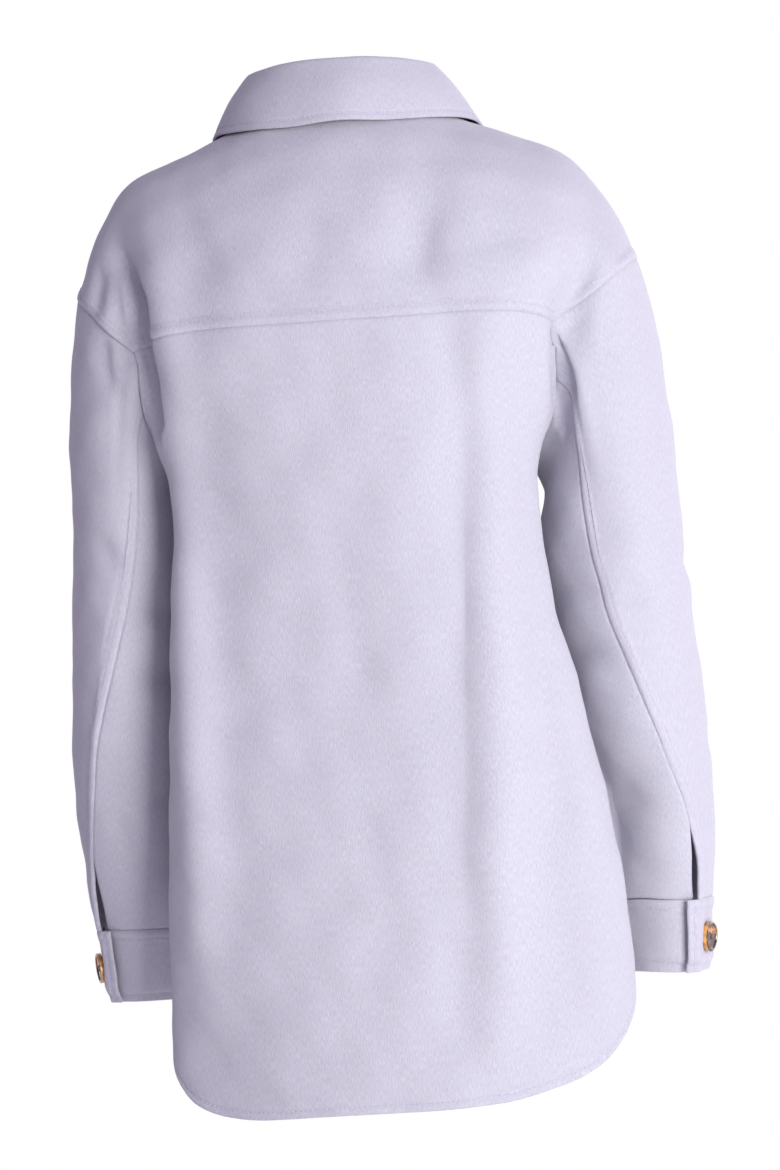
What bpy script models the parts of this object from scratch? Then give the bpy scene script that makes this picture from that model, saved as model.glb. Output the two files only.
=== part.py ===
"""Oversized shirt jacket in double-faced wool, in its worn shape with the arms down.

Metres, +Z up, +Y to the back, +X to the wearer's left. The origin is the middle of the neck,
level with the seam that joins the collar to the back yoke.
Every panel is one wall of cloth. Its outer face is a grid of points on a shared surface, and its
inner face is that grid moved in along the shared normals, so that neighbours meet squarely at seams.
"""

import math
from collections import namedtuple

import bmesh
import bpy
import numpy as np

CLOTH = 0.0026  # thickness of the double-faced wool
SEAM_GAP = 0.0003  # between two panels at a seam
HALF_GAP = SEAM_GAP / 2
FOLDED_SEAM = 0.4  # least agreement of a panel's own normal with the one shared at its seam
ARM_PIECES = ("sleeve", "cuff")
CUT_ORDER = np.array([0.37, 0.23, 1.0])  # a direction that tells the two ends of a seam's step apart

# The jacket's trunk is a stack of rings, from the neckline down to below the hem.
# A ring is a rounded box: its height goes from back to side to front, and its back corners
# stand out by wing, where the back hangs free behind the arms. sway moves it to the left.
Ring = namedtuple("Ring", "z_back z_side z_front half_width back front wing boxy sway")
RINGS = (
    # z_back  z_side   z_front  half_w  back   front  wing   boxy  sway
    Ring(0.000, -0.004, -0.072, 0.077, 0.062, 0.078, 0.000, 1.00, 0.005),  # neckline
    Ring(-0.035, -0.021, -0.110, 0.115, 0.093, 0.094, 0.000, 0.96, 0.005),  # collar edge
    Ring(-0.085, -0.048, -0.150, 0.178, 0.118, 0.110, 0.000, 0.90, 0.006),  # shoulder
    Ring(-0.130, -0.086, -0.185, 0.2085, 0.129, 0.122, 0.000, 0.84, 0.003),  # top of the arm
    Ring(-0.178, -0.1375, -0.220, 0.2300, 0.133, 0.130, 0.000, 0.80, 0.0015),  # armhole tip
    Ring(-0.300, -0.300, -0.300, 0.134, 0.131, 0.134, 0.029, 0.76, 0.001),  # underarm
    Ring(-0.450, -0.450, -0.450, 0.136, 0.132, 0.134, 0.035, 0.76, 0.000),  # waist
    Ring(-0.620, -0.620, -0.620, 0.149, 0.142, 0.138, 0.045, 0.76, -0.007),  # hip
    Ring(-0.830, -0.830, -0.830, 0.163, 0.152, 0.144, 0.043, 0.78, -0.008),  # below the hem
)
NECK, TIP, UNDERARM, HIP, LOWEST = 0, 4, 5, 7, 8  # places of rings in the stack
OVERHANG_REACH, OVERHANG_BLEND = 55.0, 40.0  # degrees from the side where the shoulder overhangs
WING_ANGLE, WING_SPREAD = 62.0, 21.0  # degrees round from the middle of the back

# Seams, as angles round the trunk (0 back, 90 side, 180 front) and as places in the stack.
YOKE_END_ANGLE, YOKE_END = 52.0, 4.32
SHOULDER_SEAM_ANGLE, SHOULDER_SEAM_END = 116.0, 3.95
BACK_SCOOP, FRONT_SCOOP = -1.0, 18.0  # how much an armhole is hollowed towards the middle
# The shirt-tail hem, as heights at angles round the trunk. It rises to a notch at each side, and
# its right corner at the back is rounder than its left one.
HemPoint = namedtuple("HemPoint", "angle z")
HEM = (
    HemPoint(-180, -0.742),
    HemPoint(-150, -0.742),
    HemPoint(-130, -0.732),
    HemPoint(-110, -0.697),
    HemPoint(-97, -0.660),
    HemPoint(-90, -0.652),
    HemPoint(-80, -0.675),
    HemPoint(-66, -0.724),
    HemPoint(-55, -0.767),
    HemPoint(-46, -0.789),
    HemPoint(-29, -0.802),
    HemPoint(-10, -0.805),
    HemPoint(14, -0.806),
    HemPoint(38, -0.809),
    HemPoint(50, -0.803),
    HemPoint(58, -0.785),
    HemPoint(65, -0.758),
    HemPoint(80, -0.675),
    HemPoint(90, -0.652),
    HemPoint(97, -0.660),
    HemPoint(110, -0.697),
    HemPoint(130, -0.732),
    HemPoint(150, -0.742),
    HemPoint(180, -0.742),
)
HEM_SOFTEN = (-5.0, -2.5, 0.0, 2.5, 5.0)  # degrees averaged, for a hem without kinks
LAP = 0.020  # how far each front passes the middle
LAP_LIFT, LAP_BLEND = 0.0036, 0.045
COLLAR_SETBACK = 0.006  # collar ends, from the middle of the front

# Grid steps
YOKE_ROWS = 9
YOKE_SEAM_COLUMNS, YOKE_ARM_COLUMNS = 24, 8
ARMHOLE_ROWS, LOWER_ROWS = 6, 14
FRONT_COLUMNS = 11
CUFF_ROWS = 3

# A fold is a soft trough between two points seen from behind, as (x, z). It pushes the cloth
# towards the front by depth, over width each side, and is spread to each end.
Fold = namedtuple("Fold", "x_top z_top x_low z_low width depth")
BACK_FOLDS = (
    Fold(0.186, -0.085, 0.170, -0.235, 0.018, 0.020),  # behind the left arm
    Fold(-0.192, -0.105, -0.178, -0.215, 0.018, 0.012),  # behind the right arm
    Fold(-0.090, -0.190, -0.060, -0.740, 0.022, 0.008),  # long trough, right of the middle
    Fold(-0.123, -0.190, -0.094, -0.760, 0.020, -0.007),  # long ridge beside it
    Fold(-0.066, -0.060, -0.070, -0.185, 0.024, 0.005),  # yoke, right of the middle
    Fold(0.122, -0.070, 0.120, -0.200, 0.026, 0.006),  # yoke, left shoulder blade
    Fold(0.010, -0.330, 0.004, -0.520, 0.024, 0.003),  # middle of the back
    Fold(0.152, -0.200, 0.155, -0.690, 0.028, -0.022),  # left corner, where the back hangs flat
    Fold(0.104, -0.230, 0.108, -0.760, 0.045, -0.011),  # swell that leads to that corner
    Fold(-0.160, -0.330, -0.175, -0.740, 0.024, -0.008),  # right corner
)
FRONT_FOLDS = (
    Fold(0.098, -0.200, 0.085, -0.660, 0.026, 0.008),
    Fold(-0.104, -0.240, -0.092, -0.690, 0.028, 0.009),
    Fold(0.160, -0.130, 0.150, -0.240, 0.016, 0.012),
    Fold(-0.164, -0.130, -0.152, -0.240, 0.016, 0.012),
)
FOLD_FADE = 0.045  # depth over which a fold dies out round the side
# The back's right corner is drawn in towards the middle between two heights, over a blend.
DRAWN_IN, DRAWN_TOP, DRAWN_LOW, DRAWN_BLEND = 0.009, -0.130, -0.480, 0.070
DRAWN_START, DRAWN_WIDTH = 0.060, 0.070
DRAWN_FRONT, DRAWN_FADE = -0.060, 0.050  # where it dies out round the side

# Sleeves, from underarm level to the end of the cuff, as level ovals round the arm.
Oval = namedtuple("Oval", "z centre_x centre_y half_width half_depth")
SLEEVE = (
    # z      x       y       half_w  half_d
    Oval(-0.335, 0.1995, 0.002, 0.0510, 0.0700),
    Oval(-0.420, 0.2030, 0.004, 0.0520, 0.0680),
    Oval(-0.500, 0.2080, 0.000, 0.0525, 0.0640),
    Oval(-0.565, 0.2105, -0.008, 0.0520, 0.0590),
    Oval(-0.620, 0.2090, -0.018, 0.0490, 0.0540),
    Oval(-0.660, 0.2060, -0.025, 0.0450, 0.0500),
    Oval(-0.720, 0.2045, -0.033, 0.0440, 0.0485),
)
CUFF_TOP, CUFF_END = -0.660, -0.720
CAP_ROWS, TUBE_ROWS = 6, 14
SETTLED, SETTLE = 0.35, 0.20  # share settled to even angles at the top oval, height to settle fully
UNDERARM_SPLAY, OUTER_SPLAY = 1.15, 0.28  # how far the sleeve heads outwards as it leaves the armhole
# The sleeve's back seam, as heights and degrees from the back of the arm, outwards. It starts
# inside the arm, and the left one leaves the inside sooner.
SeamPoint = namedtuple("SeamPoint", "z left right")
BACK_SEAM = (
    SeamPoint(-0.300, -24, -26),
    SeamPoint(-0.350, 0, -15),
    SeamPoint(-0.410, 15, -4),
    SeamPoint(-0.470, 21, 6),
    SeamPoint(-0.515, 25, 14),
    SeamPoint(-0.560, 31, 25),
    SeamPoint(-0.596, 41, 39),
    SeamPoint(-0.660, 46, 46),
)
SEAM_SOFTEN = (-0.02, -0.01, 0.0, 0.01, 0.02)  # heights averaged, for a seam without kinks
FRONT_SEAM = 205.0
SLIT_TOP, SLIT_OPEN = -0.596, 0.0075
CUFF_LAP_ANGLE, CUFF_LAP_STEPS, CUFF_LIFT = 34.0, 4, 0.0034
CUFF_LIFT_ANGLE, CUFF_LIFT_BLEND = 42.0, 60.0  # degrees held at the full lift, and to sink back
# The back seam stands out as a pressed corner, over a width in degrees, from a height down.
CORNER, CORNER_WIDTH, CORNER_TOP, CORNER_BLEND = 0.006, 30.0, -0.335, 0.110
# The right sleeve swells inwards, behind the drawn-in corner of the back.
SWELL, SWELL_ANGLE, SWELL_WIDTH, SWELL_Z, SWELL_HEIGHT = 0.0115, 275.0, 50.0, -0.400, 0.085
# Sleeve creases: angle round the arm, height, run of the angle over the crease, width, depth
Crease = namedtuple("Crease", "angle z slant width depth")
SLEEVE_CREASES = (
    Crease(20.0, -0.235, 260.0, 0.012, 0.0060),
    Crease(-30.0, -0.400, -320.0, 0.012, 0.0040),
    Crease(-45.0, -0.455, -260.0, 0.012, 0.0045),
    Crease(150.0, -0.430, 240.0, 0.014, 0.0050),
    Crease(170.0, -0.500, 260.0, 0.014, 0.0040),
)

# Collar: a stand on the neckline and a fall that rolls over it.
STAND_BACK, STAND_FRONT = 0.031, 0.020
STAND_LEAN = 0.004
STAND_ROWS = 3
ROLL = ((-0.0026, 0.0003), (-0.0022, 0.0036), (-0.0004, 0.0060), (0.0026, 0.0068), (0.0056, 0.0050))
FALL_ROWS = 5
FALL_BACK, FALL_SIDE, FALL_POINT = 0.64, 0.86, 2.05  # where its edge lies in the stack of rings
FALL_CLEAR, FALL_BULGE = 0.0046, 0.0035
POINT_ANGLE = 160.0

# Buttons, 25 mm, with a dished face.
BUTTON_RADIUS, BUTTON_THICK, BUTTON_DISH, BUTTON_RIM = 0.0125, 0.0040, 0.0012, 0.0030
BUTTON_STEPS = 18
BUTTON_CLEAR = 0.0004
FRONT_BUTTONS = (-0.135, -0.250, -0.365, -0.480, -0.595)
CUFF_BUTTON_ANGLE, CUFF_BUTTON_Z = 62.0, -0.6915

WOOL = ("wool", (0.66, 0.62, 0.76, 1.0), 0.95)
HORN = ("tortoiseshell", (0.23, 0.10, 0.035, 1.0), 0.25)


def ease(share):
    """0 to 1 with level ends."""
    share = np.clip(share, 0.0, 1.0)
    return share * share * (3.0 - 2.0 * share)


def lerp(a, b, share):
    return a + (b - a) * share


def unit(vectors):
    return vectors / np.linalg.norm(vectors, axis=-1, keepdims=True)


def ring_points(ring, angle):
    """Points of one ring at angles in degrees."""
    turn = np.radians(angle)
    s, c = np.sin(turn), np.cos(turn)
    depth = np.where(c > 0, ring.back, ring.front)
    z_end = np.where(c > 0, ring.z_back, ring.z_front)
    bump = np.exp(-(((np.abs(angle) - WING_ANGLE) / WING_SPREAD) ** 2))
    x = np.sign(s) * (ring.half_width * np.abs(s) ** ring.boxy + ring.wing * bump) + ring.sway
    y = np.sign(c) * depth * np.abs(c) ** ring.boxy
    z = ring.z_side + (z_end - ring.z_side) * c * c
    return np.stack([x, y, z], -1)


def spline(rows, place, straight=0.0):
    """Catmull-Rom curve through rows of points, read at a place counted in rows.

    Where straight is 1, the curve leaves row TIP in line with the row before it.
    """
    last = len(rows) - 1
    k = np.clip(np.floor(place).astype(int), 0, last - 1)
    u = (place - k)[..., None]
    stack = np.stack(rows)
    columns = np.indices(k.shape)
    a, b, c, d = (
        stack[(np.clip(k + step, 0, last), *columns)] for step in (-1, 0, 1, 2)
    )
    tangent_b, tangent_c = (c - a) / 2, (d - b) / 2
    straight = np.broadcast_to(straight, k.shape)[..., None]
    tangent_c = np.where(k[..., None] == TIP - 1, lerp(tangent_c, c - b, straight), tangent_c)
    tangent_b = np.where(k[..., None] == TIP, lerp(tangent_b, b - a, straight), tangent_b)
    tangent_c = np.where(k[..., None] == last - 1, c - b, tangent_c)
    return (
        b * (2 * u**3 - 3 * u**2 + 1)
        + tangent_b * (u**3 - 2 * u**2 + u)
        + c * (3 * u**2 - 2 * u**3)
        + tangent_c * (u**3 - u**2)
    )


def fold_depth(points, folds):
    """How far folds push each point, from its distance to each fold seen from behind."""
    total = np.zeros(points.shape[:-1])
    for fold in folds:
        top = np.array([fold.x_top, fold.z_top])
        run = np.array([fold.x_low, fold.z_low]) - top
        here = points[..., (0, 2)] - top
        along = np.clip(here @ run / (run @ run), 0.0, 1.0)
        off = np.linalg.norm(here - along[..., None] * run, axis=-1)
        fade = np.sin(math.pi * (0.12 + 0.76 * along))
        total += fold.depth * fade * np.exp(-((off / fold.width) ** 2))
    return total


def trunk(angle, place):
    """The trunk's outer surface at angles round it and places in the stack of rings."""
    angle, place = np.broadcast_arrays(np.asarray(angle, float), np.asarray(place, float))
    near_side = ease((OVERHANG_REACH - np.abs(np.abs(angle) - 90)) / OVERHANG_BLEND)
    points = spline([ring_points(ring, angle) for ring in RINGS], place, near_side)
    at_back = ease(points[..., 1] / FOLD_FADE)
    at_front = ease(-points[..., 1] / FOLD_FADE)
    points[..., 1] -= at_back * fold_depth(points, BACK_FOLDS)
    points[..., 1] += at_front * fold_depth(points, FRONT_FOLDS)
    x, y, z = points[..., 0], points[..., 1], points[..., 2]
    drawn = ease((DRAWN_TOP - z) / DRAWN_BLEND) * ease((z - DRAWN_LOW) / DRAWN_BLEND)
    drawn = drawn * ease((y - DRAWN_FRONT) / DRAWN_FADE)
    points[..., 0] += DRAWN_IN * drawn * ease((-x - DRAWN_START) / DRAWN_WIDTH)
    return points


def hem_place(angle):
    """Place in the stack of the hem at angles round the trunk."""
    angles = [point.angle for point in HEM]
    heights = [point.z for point in HEM]
    z = sum(np.interp(angle + off, angles, heights) for off in HEM_SOFTEN) / len(HEM_SOFTEN)
    top, bottom = RINGS[HIP].z_side, RINGS[LOWEST].z_side
    return HIP + (z - top) / (bottom - top)


def yoke_edge(angle):
    """Place of the yoke's outer edge: its seam across the back, then the armhole, to the front."""
    a = np.abs(angle)
    seam = TIP + (YOKE_END - TIP) * (a / YOKE_END_ANGLE) ** 2
    behind = TIP + (YOKE_END - TIP) * (np.clip(90 - a, 0, None) / (90 - YOKE_END_ANGLE)) ** 1.5
    before = TIP - (TIP - SHOULDER_SEAM_END) * ((a - 90) / (SHOULDER_SEAM_ANGLE - 90)) ** 2
    return np.where(a < YOKE_END_ANGLE, seam, np.where(a < 90, behind, before))


def armhole_angle(place, end_angle, end_place, scoop):
    """Angle of the armhole's lower edge, from the end of the yoke down to the underarm."""
    share = np.clip((place - end_place) / (UNDERARM - end_place), 0, 1)
    return end_angle + (90 - end_angle) * share**1.5 + scoop * np.sin(math.pi * share)


def edge_places(end_place):
    """Places down a side edge: the armhole, then the side seam as far as the hem."""
    armhole = np.linspace(end_place, UNDERARM, ARMHOLE_ROWS + 1)
    side = np.linspace(UNDERARM, float(hem_place(90.0)), LOWER_ROWS + 1)
    return np.concatenate([armhole, side[1:]])


def yoke_columns():
    back = np.linspace(-YOKE_END_ANGLE, YOKE_END_ANGLE, YOKE_SEAM_COLUMNS + 1)
    arm = np.linspace(YOKE_END_ANGLE, SHOULDER_SEAM_ANGLE, YOKE_ARM_COLUMNS + 1)[1:]
    return np.concatenate([-arm[::-1], back, arm])


def yoke_grid():
    angle = yoke_columns()
    share = np.linspace(0, 1, YOKE_ROWS + 1)[:, None]
    return trunk(np.broadcast_to(angle, (len(share), len(angle))), share * yoke_edge(angle))


def back_grid():
    across = np.linspace(-1, 1, YOKE_SEAM_COLUMNS + 1)
    edge = edge_places(YOKE_END)
    edge_angle = armhole_angle(edge, YOKE_END_ANGLE, YOKE_END, BACK_SCOOP)
    share = (edge - edge[0]) / (edge[-1] - edge[0])
    top = yoke_edge(across * YOKE_END_ANGLE)
    low = hem_place(across * 90.0)
    return trunk(np.outer(edge_angle, across), lerp(top, low, share[:, None]))


def front_grid(side):
    """Front on side 1, the wearer's left, or -1. Columns run from the shoulder side to the middle."""
    yoke_part = np.linspace(0, SHOULDER_SEAM_END, YOKE_ROWS + 1)
    edge = np.concatenate([yoke_part[:-1], edge_places(SHOULDER_SEAM_END)])
    edge_angle = armhole_angle(edge, SHOULDER_SEAM_ANGLE, SHOULDER_SEAM_END, FRONT_SCOOP)
    edge_angle = np.where(edge < SHOULDER_SEAM_END, SHOULDER_SEAM_ANGLE, edge_angle)
    share = (edge / edge[-1])[:, None]
    across = np.linspace(0, 1, FRONT_COLUMNS + 1)
    angle = lerp(edge_angle[:, None], 180.0, across)
    place = lerp(0.0, hem_place(lerp(90.0, 180.0, across)), share)
    points = trunk(side * angle, place)
    # The last columns are spread evenly in x, so that the edge past the middle is a straight strip.
    middle = spline([ring_points(ring, np.full(len(place), 180.0)) for ring in RINGS], place[:, -1])
    reach = points[:, :, 0] - middle[:, None, 0]
    wanted = lerp(reach[:, :1], -side * LAP, across**0.8)
    order = np.argsort(reach[0] * side)
    for row in range(len(points)):
        known = np.concatenate([[-LAP], side * reach[row][order]])
        for axis in (1, 2):
            values = points[row, order, axis]
            mirrored = np.concatenate([[np.interp(LAP, side * reach[row][order], values)], values])
            points[row, :, axis] = np.interp(side * wanted[row], known, mirrored)
        points[row, :, 0] = wanted[row] + middle[row, 0]
    if side < 0:
        near = ease((LAP_BLEND + LAP - np.abs(wanted)) / LAP_BLEND)
        near = np.where(wanted > -LAP, 1.0, near)
        points[..., 1] -= LAP_LIFT * near
    return points


def armhole_loop(yoke, back, front, side):
    """Points of one armhole, mirrored to the left, from midway up its back, outwards and round."""
    middle = ARMHOLE_ROWS // 2
    columns = YOKE_ARM_COLUMNS
    back_edge = back[: ARMHOLE_ROWS + 1, -1 if side > 0 else 0]
    front_edge = front[YOKE_ROWS : YOKE_ROWS + ARMHOLE_ROWS + 1, 0]
    yoke_arc = yoke[-1, -columns - 1 :] if side > 0 else yoke[-1, columns::-1]
    loop = np.concatenate(
        [back_edge[middle:0:-1], yoke_arc, front_edge[1:], back_edge[-2 : middle - 1 : -1]]
    )
    return loop * np.array([side, 1.0, 1.0])


def oval_at(z):
    """Centre and half sizes of the sleeve at heights."""
    heights = [-oval.z for oval in SLEEVE]
    place = np.interp(-z, heights, range(len(SLEEVE)))
    rows = [np.array(oval[1:]) for oval in SLEEVE]
    spread = [np.broadcast_to(row, (*place.shape, 4)) for row in rows]
    return spline_rows(spread, place)


def spline_rows(rows, place):
    """The same curve as spline, through rows that are the same for every column."""
    last = len(rows) - 1
    k = np.clip(np.floor(place).astype(int), 0, last - 1)
    flat = np.stack([row.reshape(-1, row.shape[-1])[0] for row in rows])
    u = (place - k)[..., None]
    a, b, c, d = (flat[np.clip(k + step, 0, last)] for step in (-1, 0, 1, 2))
    return (
        b * (2 * u**3 - 3 * u**2 + 1)
        + (c - a) / 2 * (u**3 - 2 * u**2 + u)
        + c * (3 * u**2 - 2 * u**3)
        + (d - b) / 2 * (u**3 - u**2)
    )


def tube_points(angle, z, out=0.0):
    """Points on the sleeve at angles from the back of the arm, outwards, and heights."""
    angle, z = np.broadcast_arrays(np.asarray(angle, float), np.asarray(z, float))
    shape = oval_at(z)
    turn = np.radians(angle)
    dip = np.zeros(z.shape)
    for crease in SLEEVE_CREASES:
        turned = (angle - crease.angle + 180) % 360 - 180
        off = z - crease.z - turned * crease.width / abs(crease.slant)
        reach = np.exp(-((turned / 38.0) ** 2))
        dip += crease.depth * reach * np.exp(-((off / crease.width) ** 2))
    grow = out - dip
    x = shape[..., 0] + (shape[..., 2] + grow) * np.sin(turn)
    y = shape[..., 1] + (shape[..., 3] + grow) * np.cos(turn)
    return np.stack([x, y, z], -1)


def back_seam_angle(z, side):
    """Where the sleeve's back seam lies: inside the arm at the top, outside it at the cuff."""
    heights = [-point.z for point in BACK_SEAM]
    angles = [point.left if side > 0 else point.right for point in BACK_SEAM]
    return sum(np.interp(off - z, heights, angles) for off in SEAM_SOFTEN) / len(SEAM_SOFTEN)


def stand_out(angle, z, side):
    """How far the sleeve stands out at the corner of its back seam, and at the right arm's swell."""
    off = (angle - back_seam_angle(z, side) + 180) % 360 - 180
    corner = CORNER * np.exp(-np.abs(off) / CORNER_WIDTH) * ease((CORNER_TOP - z) / CORNER_BLEND)
    if side > 0:
        return corner
    away = ((angle - SWELL_ANGLE + 180) % 360 - 180) / SWELL_WIDTH
    return corner + SWELL * np.exp(-(away**2) - ((z - SWELL_Z) / SWELL_HEIGHT) ** 2)


def lap_lift(angle_past_seam, z):
    """How far the slit's upper edge and the cuff's upper end stand off the arm."""
    near = ease((CUFF_LIFT_ANGLE + CUFF_LIFT_BLEND - angle_past_seam) / CUFF_LIFT_BLEND)
    return CUFF_LIFT * near * ease((SLIT_TOP - z) / (SLIT_TOP - CUFF_TOP))


def sleeve_grids(loop, side):
    """Upper and under sleeve, mirrored to the left: rows down the arm, columns round it from the back."""
    middle = ARMHOLE_ROWS // 2
    upper_columns = YOKE_ARM_COLUMNS + 2 * middle
    count = len(loop) - 1
    centre = np.array(SLEEVE[0][1:3])
    natural = np.degrees(np.arctan2(loop[:, 0] - centre[0], loop[:, 1] - centre[1]))
    natural = np.degrees(np.unwrap(np.radians(natural)))
    z_rows = np.linspace(SLEEVE[0].z, CUFF_TOP, TUBE_ROWS + 1)
    tube = []
    for z in z_rows:
        even = sleeve_angles(z, side)
        seam = even[0]
        angle = lerp(natural, even, SETTLED + (1 - SETTLED) * ease((SLEEVE[0].z - z) / SETTLE))
        lift = np.where(np.arange(count + 1) <= upper_columns, lap_lift(angle - seam, z), 0.0)
        tube.append(tube_points(angle, np.full(count + 1, z), lift + stand_out(angle, z, side)))
    tube = np.array(tube)
    first = tube[0]
    length = np.linalg.norm(first - loop, axis=-1, keepdims=True)
    outward = np.sin(np.radians(natural))
    aside = np.where(outward > 0, OUTER_SPLAY * outward, -UNDERARM_SPLAY * outward)
    start = unit(np.stack([aside, np.zeros(count + 1), -np.ones(count + 1)], -1)) * length
    finish = unit(tube[1] - tube[0]) * length
    u = np.linspace(0, 1, CAP_ROWS + 1)[:-1, None, None]
    cap = (
        loop * (2 * u**3 - 3 * u**2 + 1)
        + start * (u**3 - 2 * u**2 + u)
        + first * (3 * u**2 - 2 * u**3)
        + finish * (u**3 - u**2)
    )
    whole = np.concatenate([cap, tube])
    upper, under = whole[:, : upper_columns + 1].copy(), whole[:, upper_columns:].copy()
    # The slit gapes: both edges draw back from each other, most at the middle of its height.
    for row, z in enumerate(z_rows):
        gape = SLIT_OPEN * math.sin(math.pi * float(np.clip((SLIT_TOP - z) / (SLIT_TOP - CUFF_TOP), 0, 1)))
        for grid, edge, inner in ((upper, 0, 1), (under, -1, -2)):
            towards = unit(grid[CAP_ROWS + row, inner] - grid[CAP_ROWS + row, edge])
            grid[CAP_ROWS + row, edge] += towards * gape / 2
    return upper, under


def sleeve_angles(z, side):
    """Angles of the sleeve's columns at a height, for the upper and then the under sleeve."""
    seam = float(back_seam_angle(z, side))
    upper_columns = YOKE_ARM_COLUMNS + 2 * (ARMHOLE_ROWS // 2)
    upper = np.linspace(seam, FRONT_SEAM, upper_columns + 1)
    under = np.linspace(FRONT_SEAM, seam + 360, ARMHOLE_ROWS + 1)
    return np.concatenate([upper, under[1:]])


def cuff_grid(side):
    """Cuff, mirrored to the left: its upper end laps over its under end, past the slit."""
    angle = sleeve_angles(CUFF_TOP, side)
    lap = angle[-1] + np.linspace(0, CUFF_LAP_ANGLE, CUFF_LAP_STEPS + 1)[1:]
    angle = np.concatenate([angle, lap])
    z = np.linspace(CUFF_TOP, CUFF_END, CUFF_ROWS + 1)[:, None]
    lift = lap_lift(angle - angle[0], CUFF_TOP) + stand_out(angle, CUFF_TOP, side)
    return tube_points(np.broadcast_to(angle, (CUFF_ROWS + 1, len(angle))), z, lift)


def neck_edge(yoke, left, right):
    """The neckline, from the right front round the back to the left front, as far as the collar's ends."""
    on_right = right[0, right[0, :, 0] < -COLLAR_SETBACK]
    on_left = left[0, left[0, :, 0] > COLLAR_SETBACK]
    return np.concatenate([on_right[::-1], yoke[0, 1:], on_left[1:]])


def round_the_neck(points):
    """Outward directions, level, from the middle of the neck."""
    middle = np.array([0.0, -0.005, 0.0])
    level = (points - middle) * np.array([1.0, 1.0, 0.0])
    return unit(level)


def stand_grid(line):
    """Collar stand, rows from its top down to the neckline."""
    out = round_the_neck(line)
    forward = ease(-line[:, 1:2] / 0.07)
    height = lerp(STAND_BACK, STAND_FRONT, forward)
    top = line + height * np.array([0.0, 0.0, 1.0]) - STAND_LEAN * out
    share = np.linspace(0, 1, STAND_ROWS + 1)[:, None, None]
    return lerp(top, line, share)


def fall_grid(stand):
    """Collar fall, rows from the stand's top over the roll and down to the outer edge."""
    top = stand[0]
    along = unit(np.gradient(top, axis=0))
    out = unit(np.cross(along, stand[1] - top))
    up = np.cross(along, out)
    rows = [top + out * reach + up * rise for reach, rise in ROLL]
    angle = np.degrees(np.arctan2(top[:, 0], top[:, 1]))
    widest = np.abs(angle).max()
    lie = np.abs(angle) / widest * POINT_ANGLE
    place = lerp(FALL_BACK, FALL_SIDE, (np.clip(lie, 0, 90) / 90) ** 2)
    place += (FALL_POINT - FALL_SIDE) * ease((lie - 80) / (POINT_ANGLE - 80)) ** 1.2
    edge_angle = np.sign(angle) * lie
    step = 0.5
    rest = trunk(edge_angle, place)
    across = trunk(edge_angle + step, place) - trunk(edge_angle - step, place)
    down = trunk(edge_angle, place + 0.02) - trunk(edge_angle, place - 0.02)
    near = ease((LAP_BLEND - np.abs(rest[:, :1])) / LAP_BLEND)
    edge = rest + unit(np.cross(across, down)) * (FALL_CLEAR + LAP_LIFT * near)
    last = rows[-1]
    bulge_way = unit(out + up * 0.6)
    for share in np.linspace(0, 1, FALL_ROWS + 1)[1:]:
        bulge = FALL_BULGE * math.sin(math.pi * share)
        rows.append(lerp(last, edge, share) + bulge_way * bulge)
    return np.array(rows)


def grid_normals(grid):
    """Outward normals at a grid's points."""
    across = (grid[:-1, 1:] - grid[:-1, :-1]) + (grid[1:, 1:] - grid[1:, :-1])
    down = (grid[1:, :-1] - grid[:-1, :-1]) + (grid[1:, 1:] - grid[:-1, 1:])
    cells = np.cross(across, down)
    total = np.zeros(grid.shape)
    total[:-1, :-1] += cells
    total[1:, :-1] += cells
    total[:-1, 1:] += cells
    total[1:, 1:] += cells
    return unit(total)


def key(point):
    return tuple(np.round(point * 20000).astype(int))


def shared_normals(grids):
    """Normals at every grid point, summed over all the panels that meet there."""
    trunk_sums, arm_sums = {}, {}
    for name, grid in grids.items():
        sums = arm_sums if name.startswith(ARM_PIECES) else trunk_sums
        for point, normal in zip(grid.reshape(-1, 3), grid_normals(grid).reshape(-1, 3)):
            sums[key(point)] = sums.get(key(point), 0) + normal

    def shared(point):
        meeting = [sums[key(point)] for sums in (trunk_sums, arm_sums) if key(point) in sums]
        return unit(sum(unit(total) for total in meeting))

    return {
        name: np.array([[shared(point) for point in row] for row in grid])
        for name, grid in grids.items()
    }


def drawn_back(grid, sides, shared):
    """The grid with its seam edges drawn in by half the seam gap, square to each edge.

    Where two panels fold sharply at their seam, each is drawn in further, to keep the same gap.
    """
    moved = grid.copy()
    agree = np.clip(np.sum(grid_normals(grid) * shared, -1, keepdims=True), FOLDED_SEAM, 1.0)
    for side in sides:
        edge, inner = {
            "top": ((0, slice(None)), (1, slice(None))),
            "low": ((-1, slice(None)), (-2, slice(None))),
            "first": ((slice(None), 0), (slice(None), 1)),
            "last": ((slice(None), -1), (slice(None), -2)),
        }[side]
        line = grid[edge]
        along = unit(np.gradient(line, axis=0))
        inward = grid[inner] - line
        inward = inward - along * np.sum(inward * along, -1, keepdims=True)
        moved[edge] = moved[edge] + unit(inward) * HALF_GAP / agree[edge] ** 2
    return moved


def material(name, colour, roughness):
    made = bpy.data.materials.get(name) or bpy.data.materials.new(name)
    made.use_nodes = True
    shader = made.node_tree.nodes["Principled BSDF"]
    shader.inputs["Base Color"].default_value = colour
    shader.inputs["Roughness"].default_value = roughness
    shader.inputs["Metallic"].default_value = 0.0
    return made


def add_object(name, mesh, finish):
    mesh.materials.append(material(*finish))
    made = bpy.data.objects.new(name, mesh)
    bpy.context.scene.collection.objects.link(made)
    return made


def add_cut_quad(work, corners, start):
    """Two triangles that fill a quad, cut from its corner number start."""
    a, b, c, d = corners[start:] + corners[:start]
    work.faces.new((a, b, c))
    work.faces.new((a, c, d))


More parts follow.
